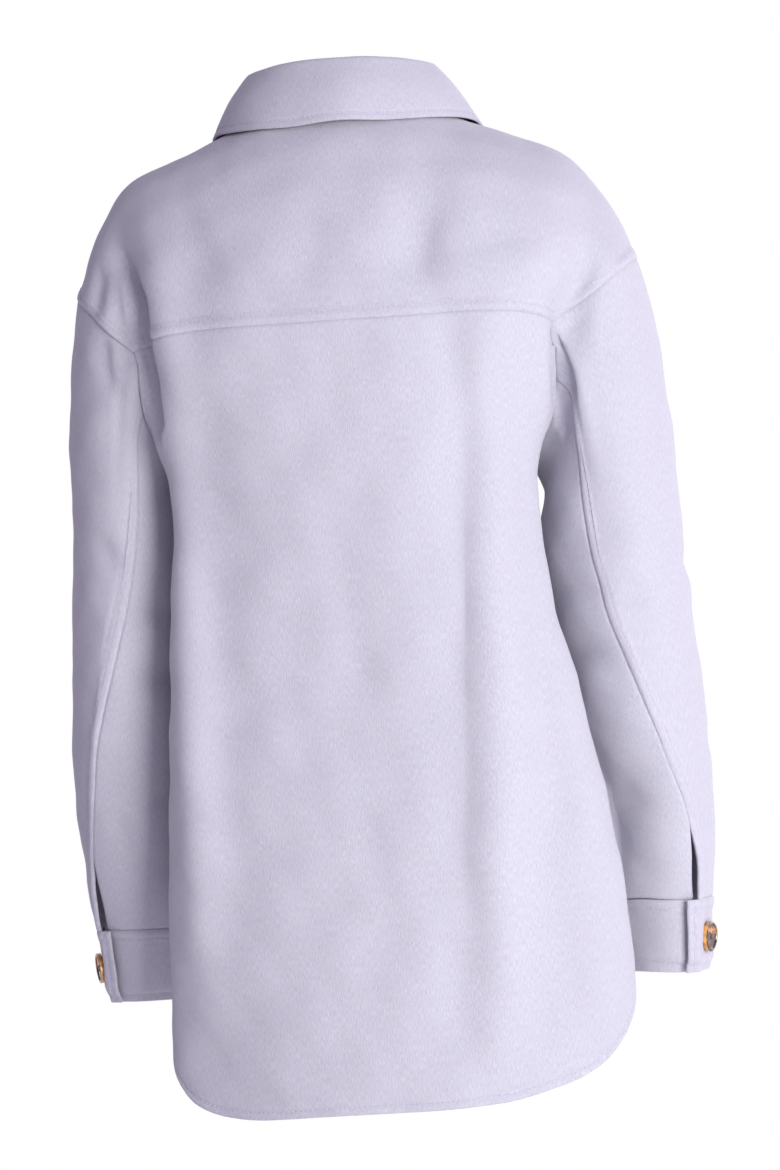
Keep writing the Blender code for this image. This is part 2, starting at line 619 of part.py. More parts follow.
def add_wall(name, outer, inner, finish=WOOL):
    """A closed wall of cloth between an outer and an inner grid."""
    rows, columns = outer.shape[:2]
    work = bmesh.new()
    face, back = (
        [[work.verts.new(point) for point in row] for row in grid] for grid in (outer, inner)
    )
    for r in range(rows - 1):
        for c in range(columns - 1):
            places = [(r, c), (r, c + 1), (r + 1, c + 1), (r + 1, c)]
            falling = np.linalg.norm(outer[r, c] - outer[r + 1, c + 1])
            rising = np.linalg.norm(outer[r, c + 1] - outer[r + 1, c])
            start = int(rising < falling)
            add_cut_quad(work, [face[i][j] for i, j in places], start)
            add_cut_quad(work, [back[i][j] for i, j in places][::-1], 3 - start)
    rim = (
        [(0, c) for c in range(columns)]
        + [(r, columns - 1) for r in range(1, rows)]
        + [(rows - 1, c) for c in range(columns - 2, -1, -1)]
        + [(r, 0) for r in range(rows - 2, 0, -1)]
    )
    for (r0, c0), (r1, c1) in zip(rim, rim[1:] + rim[:1]):
        # Both panels at a seam are cut from the same end, so that their edges match.
        start = int(outer[r0, c0] @ CUT_ORDER > outer[r1, c1] @ CUT_ORDER)
        corners = [face[r1][c1], face[r0][c0], back[r0][c0], back[r1][c1]]
        add_cut_quad(work, corners, start)
    mesh = bpy.data.meshes.new(name)
    work.to_mesh(mesh)
    work.free()
    mesh.shade_smooth()
    mesh.set_sharp_from_angle(angle=math.radians(60))
    return add_object(name, mesh, finish)


def add_button(name, point, normal):
    """A round button with a raised rim and a dished face, resting on the cloth at point."""
    half = BUTTON_THICK / 2
    profile = (
        (0.0, BUTTON_THICK - BUTTON_DISH),
        (BUTTON_RADIUS - BUTTON_RIM, BUTTON_THICK - BUTTON_DISH),
        (BUTTON_RADIUS - BUTTON_RIM * 0.55, BUTTON_THICK),
        (BUTTON_RADIUS - 0.0008, BUTTON_THICK - 0.0003),
        (BUTTON_RADIUS, half),
        (BUTTON_RADIUS - 0.0022, 0.0003),
        (BUTTON_RADIUS - 0.0050, 0.0),
        (0.0, 0.0),
    )
    work = bmesh.new()
    line = [work.verts.new((radius, 0.0, height)) for radius, height in profile]
    edges = [work.edges.new(pair) for pair in zip(line, line[1:])]
    bmesh.ops.spin(
        work,
        geom=line + edges,
        cent=(0, 0, 0),
        axis=(0, 0, 1),
        angle=math.tau,
        steps=BUTTON_STEPS,
        use_merge=True,
    )
    bmesh.ops.remove_doubles(work, verts=work.verts[:], dist=1e-6)
    bmesh.ops.recalc_face_normals(work, faces=work.faces[:])
    mesh = bpy.data.meshes.new(name)
    work.to_mesh(mesh)
    work.free()
    mesh.shade_smooth()
    mesh.set_sharp_from_angle(angle=math.radians(40))
    made = add_object(name, mesh, HORN)
    made.rotation_mode = "QUATERNION"
    made.rotation_quaternion = mathutils_track(normal)
    made.location = point + normal * BUTTON_CLEAR
    return made


def mathutils_track(normal):
    """Turn that carries +Z to the normal."""
    from mathutils import Vector

    return Vector(normal).to_track_quat("Z", "Y")


def nearest(grid, normals, x, z):
    """Point and normal of a front panel nearest to a place seen from the front."""
    flat, ways = grid.reshape(-1, 3), normals.reshape(-1, 3)
    weight = np.exp(-(((flat[:, 0] - x) / 0.012) ** 2 + ((flat[:, 2] - z) / 0.012) ** 2))
    weight /= weight.sum()
    point = weight @ flat
    normal = unit(weight @ ways)
    return np.array([x, point[1], z]), normal


def main():
    for old in list(bpy.data.objects):
        bpy.data.objects.remove(old)
    grids = {"yoke": yoke_grid(), "back": back_grid()}
    for side, hand in ((1, "left"), (-1, "right")):
        front = front_grid(side)
        loop = armhole_loop(grids["yoke"], grids["back"], front, side)
        upper, under = sleeve_grids(loop, side)
        parts = {"sleeve_upper": upper, "sleeve_under": under, "cuff": cuff_grid(side)}
        grids[f"front_{hand}"] = front
        for name, grid in parts.items():
            mirrored = grid * np.array([side, 1.0, 1.0])
            grids[f"{name}_{hand}"] = mirrored if side > 0 else mirrored[:, ::-1]
    grids["front_right"] = grids["front_right"][:, ::-1]
    stand = stand_grid(neck_edge(grids["yoke"], grids["front_left"], grids["front_right"][:, ::-1]))
    grids["collar_stand"] = stand
    normals = shared_normals(grids)
    seams = {
        "yoke": ("top", "low", "first", "last"),
        "back": ("top", "first", "last"),
        "front_left": ("top", "first"),
        "front_right": ("top", "last"),
        "collar_stand": ("top", "low"),
        "cuff_left": ("top",),
        "cuff_right": ("top",),
    }
    for name, grid in grids.items():
        sides = seams.get(name, ("top", "low", "first", "last"))
        outer = drawn_back(grid, sides, normals[name])
        add_wall(name, outer, outer - normals[name] * CLOTH)
    fall = fall_grid(stand)
    fall_normals = shared_normals({"fall": fall})["fall"]
    add_wall("collar_fall", fall, fall - fall_normals * CLOTH)
    for number, z in enumerate(FRONT_BUTTONS, 1):
        point, normal = nearest(grids["front_right"], normals["front_right"], 0.0, z)
        add_button(f"button_front_{number}", point, normal)
    for side, hand in ((1, "left"), (-1, "right")):
        angle = CUFF_BUTTON_ANGLE + 2.0 * np.array([0, 1, -1, 0, 0])
        z = CUFF_BUTTON_Z + 0.005 * np.array([0, 0, 0, 1, -1])
        out = CUFF_LIFT + stand_out(angle, CUFF_TOP, side)
        point, ahead, behind, above, below = tube_points(angle, z, out)
        normal = unit(np.cross(ahead - behind, below - above))
        flip = np.array([side, 1.0, 1.0])
        add_button(f"button_cuff_{hand}", point * flip, normal * flip)


main()
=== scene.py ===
"""Looks of an oversized shirt jacket in lilac double-faced wool, in its worn shape, arms down.

Every panel is laid out again over its own solid on a fine grid, as one wall of cloth. It gets the
folds that a hand would press into it, rolled edges at its seams, the raised bands that seam
allowances make, sunk stitch lines with their stitches, and a brushed wool finish. The buttons are
polished tortoiseshell. Metres, +Z up, +Y to the back, +X to the wearer's left.
"""

import logging
import math
from dataclasses import dataclass, field
from enum import Enum
from typing import Any, NamedTuple

import bmesh
import bpy
import numpy as np
from mathutils import Matrix, Quaternion, Vector


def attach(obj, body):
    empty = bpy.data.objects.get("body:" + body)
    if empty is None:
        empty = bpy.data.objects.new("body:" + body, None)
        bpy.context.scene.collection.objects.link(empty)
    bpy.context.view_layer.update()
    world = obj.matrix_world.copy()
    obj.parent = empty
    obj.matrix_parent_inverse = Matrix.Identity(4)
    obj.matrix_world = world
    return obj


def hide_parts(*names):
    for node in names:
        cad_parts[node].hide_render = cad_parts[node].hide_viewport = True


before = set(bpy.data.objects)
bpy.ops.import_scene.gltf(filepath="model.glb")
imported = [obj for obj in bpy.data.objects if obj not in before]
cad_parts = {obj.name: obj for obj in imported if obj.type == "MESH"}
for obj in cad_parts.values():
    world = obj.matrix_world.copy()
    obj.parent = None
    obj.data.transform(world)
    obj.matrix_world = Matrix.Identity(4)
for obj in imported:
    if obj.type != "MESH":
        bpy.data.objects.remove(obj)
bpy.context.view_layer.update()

Array = np.ndarray
Colour = tuple[float, float, float, float]
log = logging.getLogger("shirt_jacket")

CLOTH = 0.0026  # thickness of the double-faced wool
MIRROR = np.array([-1.0, 1.0, 1.0])
FACING = 0.9  # how squarely a face has to look one way to be picked


def ease(share: Array) -> Array:
    """Return a share from 0 to 1 with level ends."""
    share = np.clip(share, 0.0, 1.0)
    return share * share * (3.0 - 2.0 * share)


def lerp(start: Any, end: Any, share: Any) -> Any:
    """Return the value that lies at a share of the way from start to end."""
    return start + (end - start) * share


def unit(vectors: Array) -> Array:
    """Return vectors at length 1."""
    return vectors / np.maximum(np.linalg.norm(vectors, axis=-1, keepdims=True), 1e-12)


def hermite(start: Array, leave: Array, end: Array, arrive: Array, u: Array) -> Array:
    """Return points on a curve with given ends and end directions.

    Args:
        start: Where the curve starts.
        leave: Direction and speed at the start.
        end: Where the curve ends.
        arrive: Direction and speed at the end.
        u: Share of the way, 0 to 1.

    Returns:
        The points at u.
    """
    return (
        start * (2 * u**3 - 3 * u**2 + 1)
        + leave * (u**3 - 2 * u**2 + u)
        + end * (3 * u**2 - 2 * u**3)
        + arrive * (u**3 - u**2)
    )


def grid_normals(grid: Array) -> Array:
    """Return the outward normals at a grid's points."""
    across = (grid[:-1, 1:] - grid[:-1, :-1]) + (grid[1:, 1:] - grid[1:, :-1])
    down = (grid[1:, :-1] - grid[:-1, :-1]) + (grid[1:, 1:] - grid[:-1, 1:])
    cells = unit(np.cross(across, down))
    total = np.zeros(grid.shape)
    total[:-1, :-1] += cells
    total[1:, :-1] += cells
    total[:-1, 1:] += cells
    total[1:, 1:] += cells
    return unit(total)


def run_along(grid: Array, axis: int) -> Array:
    """Return each point's distance along its row or column of a grid, from the first one.

    Args:
        grid: Rows and columns of points.
        axis: 1 to measure along the rows, 0 to measure down the columns.

    Returns:
        Distances, one for each point.
    """
    step = np.linalg.norm(np.diff(grid, axis=axis), axis=-1)
    start = np.zeros_like(step[:, :1] if axis else step[:1])
    return np.concatenate([start, np.cumsum(step, axis=axis)], axis=axis)


def read_rows(grid: Array, place: Array) -> Array:
    """Read every row of a grid at fractional columns, on a curve through its points.

    Args:
        grid: Rows and columns of points.
        place: For each row, the columns to read.

    Returns:
        The points, in as many columns as place has.
    """
    last = grid.shape[1] - 1
    k = np.clip(np.floor(place).astype(int), 0, last - 1)
    u = (place - k)[..., None]
    rows = np.arange(len(grid))[:, None]
    a, b, c, d = (grid[rows, np.clip(k + step, 0, last)] for step in (-1, 0, 1, 2))
    return hermite(b, (c - a) / 2, c, (d - b) / 2, u)


def add_object(name: str, data: Any) -> bpy.types.Object:
    """Add an object to the scene."""
    made = bpy.data.objects.new(name, data)
    bpy.context.scene.collection.objects.link(made)
    return made


def belong(piece: bpy.types.Object) -> None:
    """Let a piece move with the jacket."""
    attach(piece, "root")


def add_cylinder(**shape: Any) -> bpy.types.Object:
    """Add a cylinder, with its place and turn put into its mesh."""
    bpy.ops.object.select_all(action="DESELECT")
    bpy.ops.mesh.primitive_cylinder_add(**shape)
    bpy.ops.object.transform_apply(location=True, rotation=True, scale=True)
    return bpy.context.object


def shape_face(
    made: bpy.types.Object, way: Vector, steps: tuple[tuple[float, float], ...]
) -> None:
    """Shape the face that looks one way by insets, each moved outwards or inwards.

    Args:
        made: The object.
        way: Where the face looks.
        steps: For each inset, its width and how far it then moves out.
    """
    bpy.ops.object.mode_set(mode="EDIT")
    bpy.ops.mesh.select_all(action="DESELECT")
    work = bmesh.from_edit_mesh(made.data)
    for face in work.faces:
        face.select = face.normal.dot(way) > FACING
    bmesh.update_edit_mesh(made.data)
    for inset, rise in steps:
        bpy.ops.mesh.inset(thickness=inset)
        bpy.ops.transform.translate(value=way * rise)
    bpy.ops.object.mode_set(mode="OBJECT")


class Side(Enum):
    """The four sides of a panel's grid."""

    TOP = "top"
    LOW = "low"
    FIRST = "first"
    LAST = "last"


@dataclass(frozen=True)
class EdgeShape:
    """How the cloth is made up along one side of a panel.

    Attributes:
        valley: How far the edge rolls down into its seam.
        band: How far the band above the seam allowance stands up.
        groove: Depth of the sunk stitch line.
        groove_at: Distance of the stitch line from the edge.
        rounded: True at a free edge, which is round in section.
        above: Height below which the band and its stitch line fade out.
    """

    valley: float = 0.0
    band: float = 0.0
    groove: float = 0.0
    groove_at: float = 0.0074
    rounded: bool = False
    above: float = -9.0


SEAM = EdgeShape(valley=0.0009)
BAND = EdgeShape(valley=0.0012, band=0.0011, groove=0.0008)
ARMHOLE = EdgeShape(valley=0.0012, band=0.0011, groove=0.0008, above=-0.270)
STITCHED = EdgeShape(rounded=True, groove=0.0007, groove_at=0.0062)
ROUNDED = EdgeShape(rounded=True)

# distances from an edge at which a grid always has lines
EDGE_LINES = (0.0, 0.00035, 0.0009, 0.0016, 0.0030, 0.0046, 0.0062, 0.0074, 0.0086, 0.0100, 0.0125)
PLAIN = 0.0045  # distance between a grid's lines, away from its edges
EDGE_ROUND = 0.0014  # how far in a free edge is round
EDGE_CLOSING = 0.44 * CLOTH  # how much of the wall each face gives up at a free edge
BAND_WIDTH, BAND_SLOPE, BAND_FADE = 0.0090, 0.0022, 0.020
GROOVE_WIDTH, VALLEY_WIDTH, DEEPEST = 0.0009, 0.0012, 0.0016
CREASE_END = 0.4  # share of a crease's length over which it fades
FACE_ON, FACE_BLEND = 0.05, 0.35  # a crease fades where the cloth turns away from its view
FOLD_START, FOLD_RUN = 0.12, 0.76  # a fold keeps a share of its depth at both ends


def spacing(length: Array, plain: float) -> Array:
    """Place a grid's lines: close together near both ends and plain between them.

    Args:
        length: One length for each row.
        plain: Distance between the lines, away from the ends.

    Returns:
        For each row, the distances of its lines from its start.
    """
    length = length.reshape(-1, 1)
    near = np.array(EDGE_LINES)
    last = near[-1]
    tight = np.minimum(1.0, length / (2.1 * (last + last)))
    count = max(2, math.ceil((float(length.max()) - last - last) / plain))
    middle = lerp(last * tight, length - last * tight, np.linspace(0, 1, count + 1)[None])
    return np.concatenate([near[None, :-1] * tight, middle, length - near[None, -2::-1] * tight], 1)


def respaced(grid: Array, plain: float) -> Array:
    """Lay a dense grid's rows out again, with their points spaced as spacing says."""
    run = run_along(grid, 1)
    count = np.arange(grid.shape[1])
    place = [np.interp(wanted, row, count) for wanted, row in zip(spacing(run[:, -1], plain), run)]
    return read_rows(grid, np.array(place))


class Wave(NamedTuple):
    """One soft swell of unevenness: its direction, length, height and start."""

    x: float
    y: float
    z: float
    length: float
    height: float
    start: float


WAVES = (
    Wave(0.83, 0.21, 0.51, 0.061, 0.00040, 0.3),
    Wave(-0.42, 0.55, 0.72, 0.047, 0.00032, 1.9),
    Wave(0.15, -0.78, 0.61, 0.038, 0.00026, 4.1),
    Wave(0.91, 0.37, -0.19, 0.031, 0.00013, 2.7),
    Wave(-0.33, 0.12, 0.94, 0.026, 0.00010, 5.3),
    Wave(0.58, -0.62, -0.53, 0.021, 0.00007, 0.9),
)


def unevenness(points: Array) -> Array:
    """Return the soft unevenness of the cloth, which depends only on where a point is."""
    total = np.zeros(points.shape[:-1])
    for wave in WAVES:
        way = np.array([wave.x, wave.y, wave.z])
        bend = 0.35 * np.sin(points @ way[[1, 2, 0]] * 41.0 + wave.start)
        total += wave.height * np.sin(points @ way * math.tau / wave.length + wave.start + bend)
    return total


class View(Enum):
    """Where a fold is drawn from: the two axes of its drawing and the way towards the viewer."""

    BEHIND = ((0, 2), (0.0, 1.0, 0.0))
    FRONT = ((0, 2), (0.0, -1.0, 0.0))
    OUTER = ((1, 2), (1.0, 0.0, 0.0))
    INNER = ((1, 2), (-1.0, 0.0, 0.0))


@dataclass(frozen=True)
class Crease:
    """A soft trough along a drawn line. A negative depth makes a ridge.

    Attributes:
        path: Points of the line, as drawn from its view.
        wide: Widths towards the left and the right of the line's run, in metres.
        depth: How deep the trough is at its middle.
        view: Where it is drawn from.
        ends: Shares of the depth that are left at the start and at the end.
    """

    path: tuple[tuple[float, float], ...]
    wide: tuple[float, float]
    depth: float
    view: View = View.BEHIND
    ends: tuple[float, float] = (0.0, 0.0)

    def read(self, points: Array, normals: Array) -> Array:
        """Measure how far the crease sinks points.

        Args:
            points: Where the cloth is.
            normals: Its outward normals.

        Returns:
            The depth of the crease at each point.
        """
        axes, towards = self.view.value
        here = points[..., axes]
        line = np.array(self.path)
        steps = np.linalg.norm(np.diff(line, axis=0), axis=1)
        runs = np.concatenate([[0.0], np.cumsum(steps)])
        best = np.full(here.shape[:-1], 1e9)
        sign = np.zeros(here.shape[:-1])
        along = np.zeros(here.shape[:-1])
        for number, (start, end) in enumerate(zip(line[:-1], line[1:])):
            way = end - start
            share = np.clip((here - start) @ way / (way @ way), 0.0, 1.0)
            off = here - start - share[..., None] * way
            far = np.linalg.norm(off, axis=-1)
            nearer = far < best
            best = np.where(nearer, far, best)
            side = way[0] * off[..., 1] - way[1] * off[..., 0]
            sign = np.where(nearer, side, sign)
            along = np.where(nearer, runs[number] + share * steps[number], along)
        along = along / runs[-1]
        width = np.where(sign > 0, self.wide[0], self.wide[1])
        head = lerp(self.ends[0], 1.0, ease(along / CREASE_END))
        tail = lerp(self.ends[1], 1.0, ease((1.0 - along) / CREASE_END))
        facing = ease((normals @ np.array(towards) - FACE_ON) / FACE_BLEND)
        return self.depth * head * tail * facing * np.exp(-((best / width) ** 2))


def creases(view: View, *rows: tuple[Any, ...]) -> tuple[Crease, ...]:
    """Build creases that are all drawn from one view.

    Args:
        view: The view.
        rows: For each crease its path, widths and depth, and its ends unless both fade out.

    Returns:
        The creases.
    """
    return tuple(Crease(*row[:3], view, *row[3:]) for row in rows)


@dataclass
class Panel:
    """One cut piece of cloth, built as a closed wall on a fine grid.

    Attributes:
        node: The solid that it stands for.
        dense: Its outer surface, from seam to seam, on a dense grid.
        edges: How its top, low, first and last sides are made up.
        flat: Width and length of what shows of it, laid flat. Not used.
        area: Its flat area.
        rests_on: The node that holds it. Not used.
        creases: Folds pressed into it.
        seams: The armholes that it meets.
        plain: Distance between its columns, away from the edges.
        fade: Share of the cloth's unevenness that it has.
    """

    node: str
    dense: Array
    edges: tuple[EdgeShape, EdgeShape, EdgeShape, EdgeShape]
    flat: tuple[float, float]
    area: float
    rests_on: str
    creases: tuple[Crease, ...] = ()
    seams: tuple["ArmholeSeam", ...] = ()
    plain: float = PLAIN
    fade: float = 1.0

    def lay_out(self) -> None:
        """Lay the panel out on its fine grid and measure its distances to each side."""
        grid = respaced(self.dense, self.plain)
        grid = respaced(grid.transpose(1, 0, 2), PLAIN).transpose(1, 0, 2)
        wide, high = run_along(grid, 1), run_along(grid, 0)
        self.place = np.stack([wide - wide[:, -1:] / 2, high], -1)
        self.distance = {
            Side.FIRST: wide,
            Side.LAST: wide[:, -1:] - wide,
            Side.TOP: high,
            Side.LOW: high[-1:] - high,
        }
        self.grid = grid

    def heights(self) -> tuple[Array, Array, Array]:
        """Work out how far the wall's faces stand off the plain surface.

        Returns:
            The relief of the outer face, the shift of the whole wall, and how far both faces
            close in on each other at free edges.
        """
        shape = self.grid.shape[:2]
        band, groove, valley, closing = (np.zeros(shape) for _ in range(4))
        for side, edge in zip(Side, self.edges):
            far = self.distance[side]
            reach = ease((self.grid[..., 2] - edge.above) / BAND_FADE)
            here = (1.0 - ease((far - BAND_WIDTH + 0.0010) / BAND_SLOPE)) * reach
            band = np.maximum(band, edge.band * here)
            sunk = np.exp(-(((far - edge.groove_at) / GROOVE_WIDTH) ** 2)) * reach
            groove = np.maximum(groove, edge.groove * sunk)
            valley = valley + edge.valley * np.exp(-((far / VALLEY_WIDTH) ** 2))
            if edge.rounded:
                rise = np.clip(1.0 - far / EDGE_ROUND, 0.0, 1.0)
                closing = closing + EDGE_CLOSING * (1.0 - np.sqrt(1.0 - rise**2))
        shift = np.zeros(shape)
        for crease in self.creases:
            shift -= crease.read(self.grid, self.normals)
        shift += unevenness(self.grid) * self.fade
        closing = np.minimum(closing, EDGE_CLOSING)
        return band - groove - np.minimum(valley, DEEPEST), shift, closing

    def build(self) -> bpy.types.Object:
        """Build the wall of cloth as a mesh object, with a map of the cloth's own directions."""
        self.lay_out()
        self.normals = grid_normals(self.grid)
        for seam in self.seams:
            self.normals = seam.share(self.grid, self.normals)
        relief, shift, closing = self.heights()
        self.outer = self.grid + self.normals * (shift + relief - closing)[..., None]
        inner = self.grid + self.normals * (shift + closing - CLOTH)[..., None]
        rows, columns = shift.shape
        count = rows * columns
        index = np.arange(count).reshape(rows, columns)
        a, b = index[:-1, :-1], index[:-1, 1:]
        c, d = index[1:, 1:], index[1:, :-1]
        face = np.stack([a, d, c, b], -1).reshape(-1, 4)[:, ::-1]
        back = face[:, ::-1] + count
        rim = np.concatenate([index[0], index[1:, -1], index[-1, -2::-1], index[-2:0:-1, 0]])
        after = np.roll(rim, -1)
        wall = np.stack([after, rim, rim + count, after + count], -1)
        points = np.concatenate([self.outer.reshape(-1, 3), inner.reshape(-1, 3)])
        faces = np.concatenate([face, back, wall])
        name = f"{self.node}_cloth"
        mesh = bpy.data.meshes.new(name)
        mesh.from_pydata(points.tolist(), [], faces.tolist())
        corners = np.zeros(len(mesh.loops), dtype=np.int32)
        mesh.loops.foreach_get("vertex_index", corners)
        drawn = np.tile(self.place.reshape(-1, 2), (2, 1))[corners]
        mesh.uv_layers.new(name="cloth").data.foreach_set("uv", drawn.ravel())
        mesh.shade_smooth()
        return add_object(name, mesh)

    def line_at(self, side: Side, far: float) -> tuple[Array, Array]:
        """Read the outer face along a line that runs beside one of its sides.

        Args:
            side: The side that the line follows.
            far: Its distance from that side.

        Returns:
            The line's points and the normals there.
        """
        number = EDGE_LINES.index(far)
        pick = {
            Side.FIRST: (slice(None), number),
            Side.LAST: (slice(None), -1 - number),
            Side.TOP: (number, slice(None)),
            Side.LOW: (-1 - number, slice(None)),
        }[side]
        return self.outer[pick], self.normals[pick]


class Ring(NamedTuple):
    """A rounded box round the trunk. wing lifts its back corners and sway moves it to the left."""

    z_back: float
    z_side: float
    z_front: float
    half_width: float
    back: float
    front: float
    wing: float
    boxy: float
    sway: float


class Fold(NamedTuple):
    """A soft trough between two points seen from behind or in front."""

    x_top: float
    z_top: float
    x_low: float
    z_low: float
    width: float
    depth: float


TIP, UNDERARM, HIP, LOWEST = 4, 5, 7, 8


@dataclass(frozen=True)
class Trunk:
    """The shape of the jacket's body, which the yoke, the back and the fronts share."""

    rings: tuple[Ring, ...] = (
        Ring(0.000, -0.004, -0.072, 0.077, 0.062, 0.078, 0.000, 1.00, 0.005),
        Ring(-0.035, -0.021, -0.110, 0.115, 0.093, 0.094, 0.000, 0.96, 0.005),
        Ring(-0.085, -0.048, -0.150, 0.178, 0.118, 0.110, 0.000, 0.90, 0.006),
        Ring(-0.130, -0.086, -0.185, 0.2085, 0.129, 0.122, 0.000, 0.84, 0.003),
        Ring(-0.178, -0.1375, -0.220, 0.2300, 0.133, 0.130, 0.000, 0.80, 0.0015),
        Ring(-0.300, -0.300, -0.300, 0.134, 0.131, 0.134, 0.029, 0.76, 0.001),
        Ring(-0.450, -0.450, -0.450, 0.136, 0.132, 0.134, 0.035, 0.76, 0.000),
        Ring(-0.620, -0.620, -0.620, 0.149, 0.142, 0.138, 0.045, 0.76, -0.007),
        Ring(-0.830, -0.830, -0.830, 0.163, 0.152, 0.144, 0.043, 0.78, -0.008),
    )
    back_folds: tuple[Fold, ...] = (
        Fold(0.186, -0.085, 0.170, -0.235, 0.018, 0.020),
        Fold(-0.192, -0.105, -0.178, -0.215, 0.018, 0.012),
        Fold(-0.090, -0.190, -0.060, -0.740, 0.022, 0.008),
        Fold(-0.123, -0.190, -0.094, -0.760, 0.020, -0.007),
        Fold(-0.066, -0.060, -0.070, -0.185, 0.024, 0.005),
        Fold(0.122, -0.070, 0.120, -0.200, 0.026, 0.006),
        Fold(0.010, -0.330, 0.004, -0.520, 0.024, 0.003),
        Fold(0.152, -0.200, 0.155, -0.690, 0.028, -0.022),
        Fold(0.104, -0.230, 0.108, -0.760, 0.045, -0.011),
        Fold(-0.160, -0.330, -0.175, -0.740, 0.024, -0.008),
    )
    front_folds: tuple[Fold, ...] = (
        Fold(0.098, -0.200, 0.085, -0.660, 0.026, 0.008),
        Fold(-0.104, -0.240, -0.092, -0.690, 0.028, 0.009),
        Fold(0.160, -0.130, 0.150, -0.240, 0.016, 0.012),
        Fold(-0.164, -0.130, -0.152, -0.240, 0.016, 0.012),
    )
    # angle round the trunk, 0 at the back, and height of the hem there
    hem: tuple[tuple[float, float], ...] = (
        (-180, -0.742), (-150, -0.742), (-130, -0.732), (-110, -0.697), (-97, -0.660),
        (-90, -0.652), (-80, -0.675), (-66, -0.724), (-55, -0.767), (-46, -0.789),
        (-29, -0.802), (-10, -0.805), (14, -0.806), (38, -0.809), (50, -0.803),
        (58, -0.785), (65, -0.758), (80, -0.675), (90, -0.652), (97, -0.660),
        (110, -0.697), (130, -0.732), (150, -0.742), (180, -0.742),
    )
    # degrees over which the hem's line is averaged
    hem_soften: tuple[float, ...] = (-5.0, -2.5, 0.0, 2.5, 5.0)
    # distance from the sides over which folds reach their full depth
    fold_fade: float = 0.045
    # how far the right side of the back is drawn in, between which heights, and its blends
    drawn_in: float = 0.009
    drawn_heights: tuple[float, float] = (-0.130, -0.480)
    drawn_blend: float = 0.070
    drawn_start: float = 0.060
    drawn_fade: tuple[float, float] = (-0.060, 0.050)
    # within how many degrees of the sides the shoulder's line runs on straight, and its blend
    overhang: tuple[float, float] = (55.0, 40.0)
    # angle and width of the rings' lifted back corners
    wing: tuple[float, float] = (62.0, 21.0)
    # angle and place in the stack where the yoke's back and front seams meet the armhole
    yoke_end_angle: float = 52.0
    yoke_end: float = 4.32
    shoulder_angle: float = 116.0
    shoulder_end: float = 3.95
    # how far the armhole curves inwards, in degrees
    back_scoop: float = -1.0
    front_scoop: float = 18.0
    # half the fronts' overlap, and how far the right one lies over the left one
    lap: float = 0.020
    lap_lift: float = 0.0036
    lap_blend: float = 0.045

    def ring_points(self, ring: Ring, angle: Array) -> Array:
        """Return points of one ring at angles in degrees."""
        turn = np.radians(angle)
        s, c = np.sin(turn), np.cos(turn)
        depth = np.where(c > 0, ring.back, ring.front)
        z_end = np.where(c > 0, ring.z_back, ring.z_front)
        bump = np.exp(-(((np.abs(angle) - self.wing[0]) / self.wing[1]) ** 2))
        x = np.sign(s) * (ring.half_width * np.abs(s) ** ring.boxy + ring.wing * bump) + ring.sway
        y = np.sign(c) * depth * np.abs(c) ** ring.boxy
        z = ring.z_side + (z_end - ring.z_side) * c * c
        return np.stack([x, y, z], -1)

    def through_rings(self, angle: Array, place: Array, straight: Any = 0.0) -> Array:
        """Read the curve down through the rings.

        Args:
            angle: Angles round the trunk.
            place: Places in the stack of rings.
            straight: Where 1, the curve leaves the ring at the arm's tip in line.

        Returns:
            The points.
        """
        last = len(self.rings) - 1
        k = np.clip(np.floor(place).astype(int), 0, last - 1)
        u = (place - k)[..., None]
        stack = np.stack([self.ring_points(ring, angle) for ring in self.rings])
        columns = np.indices(k.shape)
        a, b, c, d = (stack[(np.clip(k + step, 0, last), *columns)] for step in (-1, 0, 1, 2))
        leave, arrive = (c - a) / 2, (d - b) / 2
        straight = np.broadcast_to(straight, k.shape)[..., None]
        arrive = np.where(k[..., None] == TIP - 1, lerp(arrive, c - b, straight), arrive)
        leave = np.where(k[..., None] == TIP, lerp(leave, b - a, straight), leave)
        arrive = np.where(k[..., None] == last - 1, c - b, arrive)
        return hermite(b, leave, c, arrive, u)

    @staticmethod
    def fold_depth(points: Array, folds: tuple[Fold, ...]) -> Array:
        """Return how far folds push each point."""
        total = np.zeros(points.shape[:-1])
        for fold in folds:
            top = np.array([fold.x_top, fold.z_top])
            run = np.array([fold.x_low, fold.z_low]) - top
            here = points[..., (0, 2)] - top
            along = np.clip(here @ run / (run @ run), 0.0, 1.0)
            off = np.linalg.norm(here - along[..., None] * run, axis=-1)
            fade = np.sin(math.pi * (FOLD_START + FOLD_RUN * along))
            total += fold.depth * fade * np.exp(-((off / fold.width) ** 2))
        return total

    def surface(self, angle: Array, place: Array) -> Array:
        """Return the outer surface at angles round the trunk and places in the stack."""
        angle, place = np.broadcast_arrays(np.asarray(angle, float), np.asarray(place, float))
        reach, blend = self.overhang
        near_side = ease((reach - np.abs(np.abs(angle) - 90)) / blend)
        points = self.through_rings(angle, place, near_side)
        at_back = ease(points[..., 1] / self.fold_fade)
        at_front = ease(-points[..., 1] / self.fold_fade)
        points[..., 1] -= at_back * self.fold_depth(points, self.back_folds)
        points[..., 1] += at_front * self.fold_depth(points, self.front_folds)
        x, y, z = points[..., 0], points[..., 1], points[..., 2]
        top, low = self.drawn_heights
        drawn = ease((top - z) / self.drawn_blend) * ease((z - low) / self.drawn_blend)
        drawn = drawn * ease((y - self.drawn_fade[0]) / self.drawn_fade[1])
        points[..., 0] += self.drawn_in * drawn * ease((-x - self.drawn_start) / self.drawn_blend)
        return points

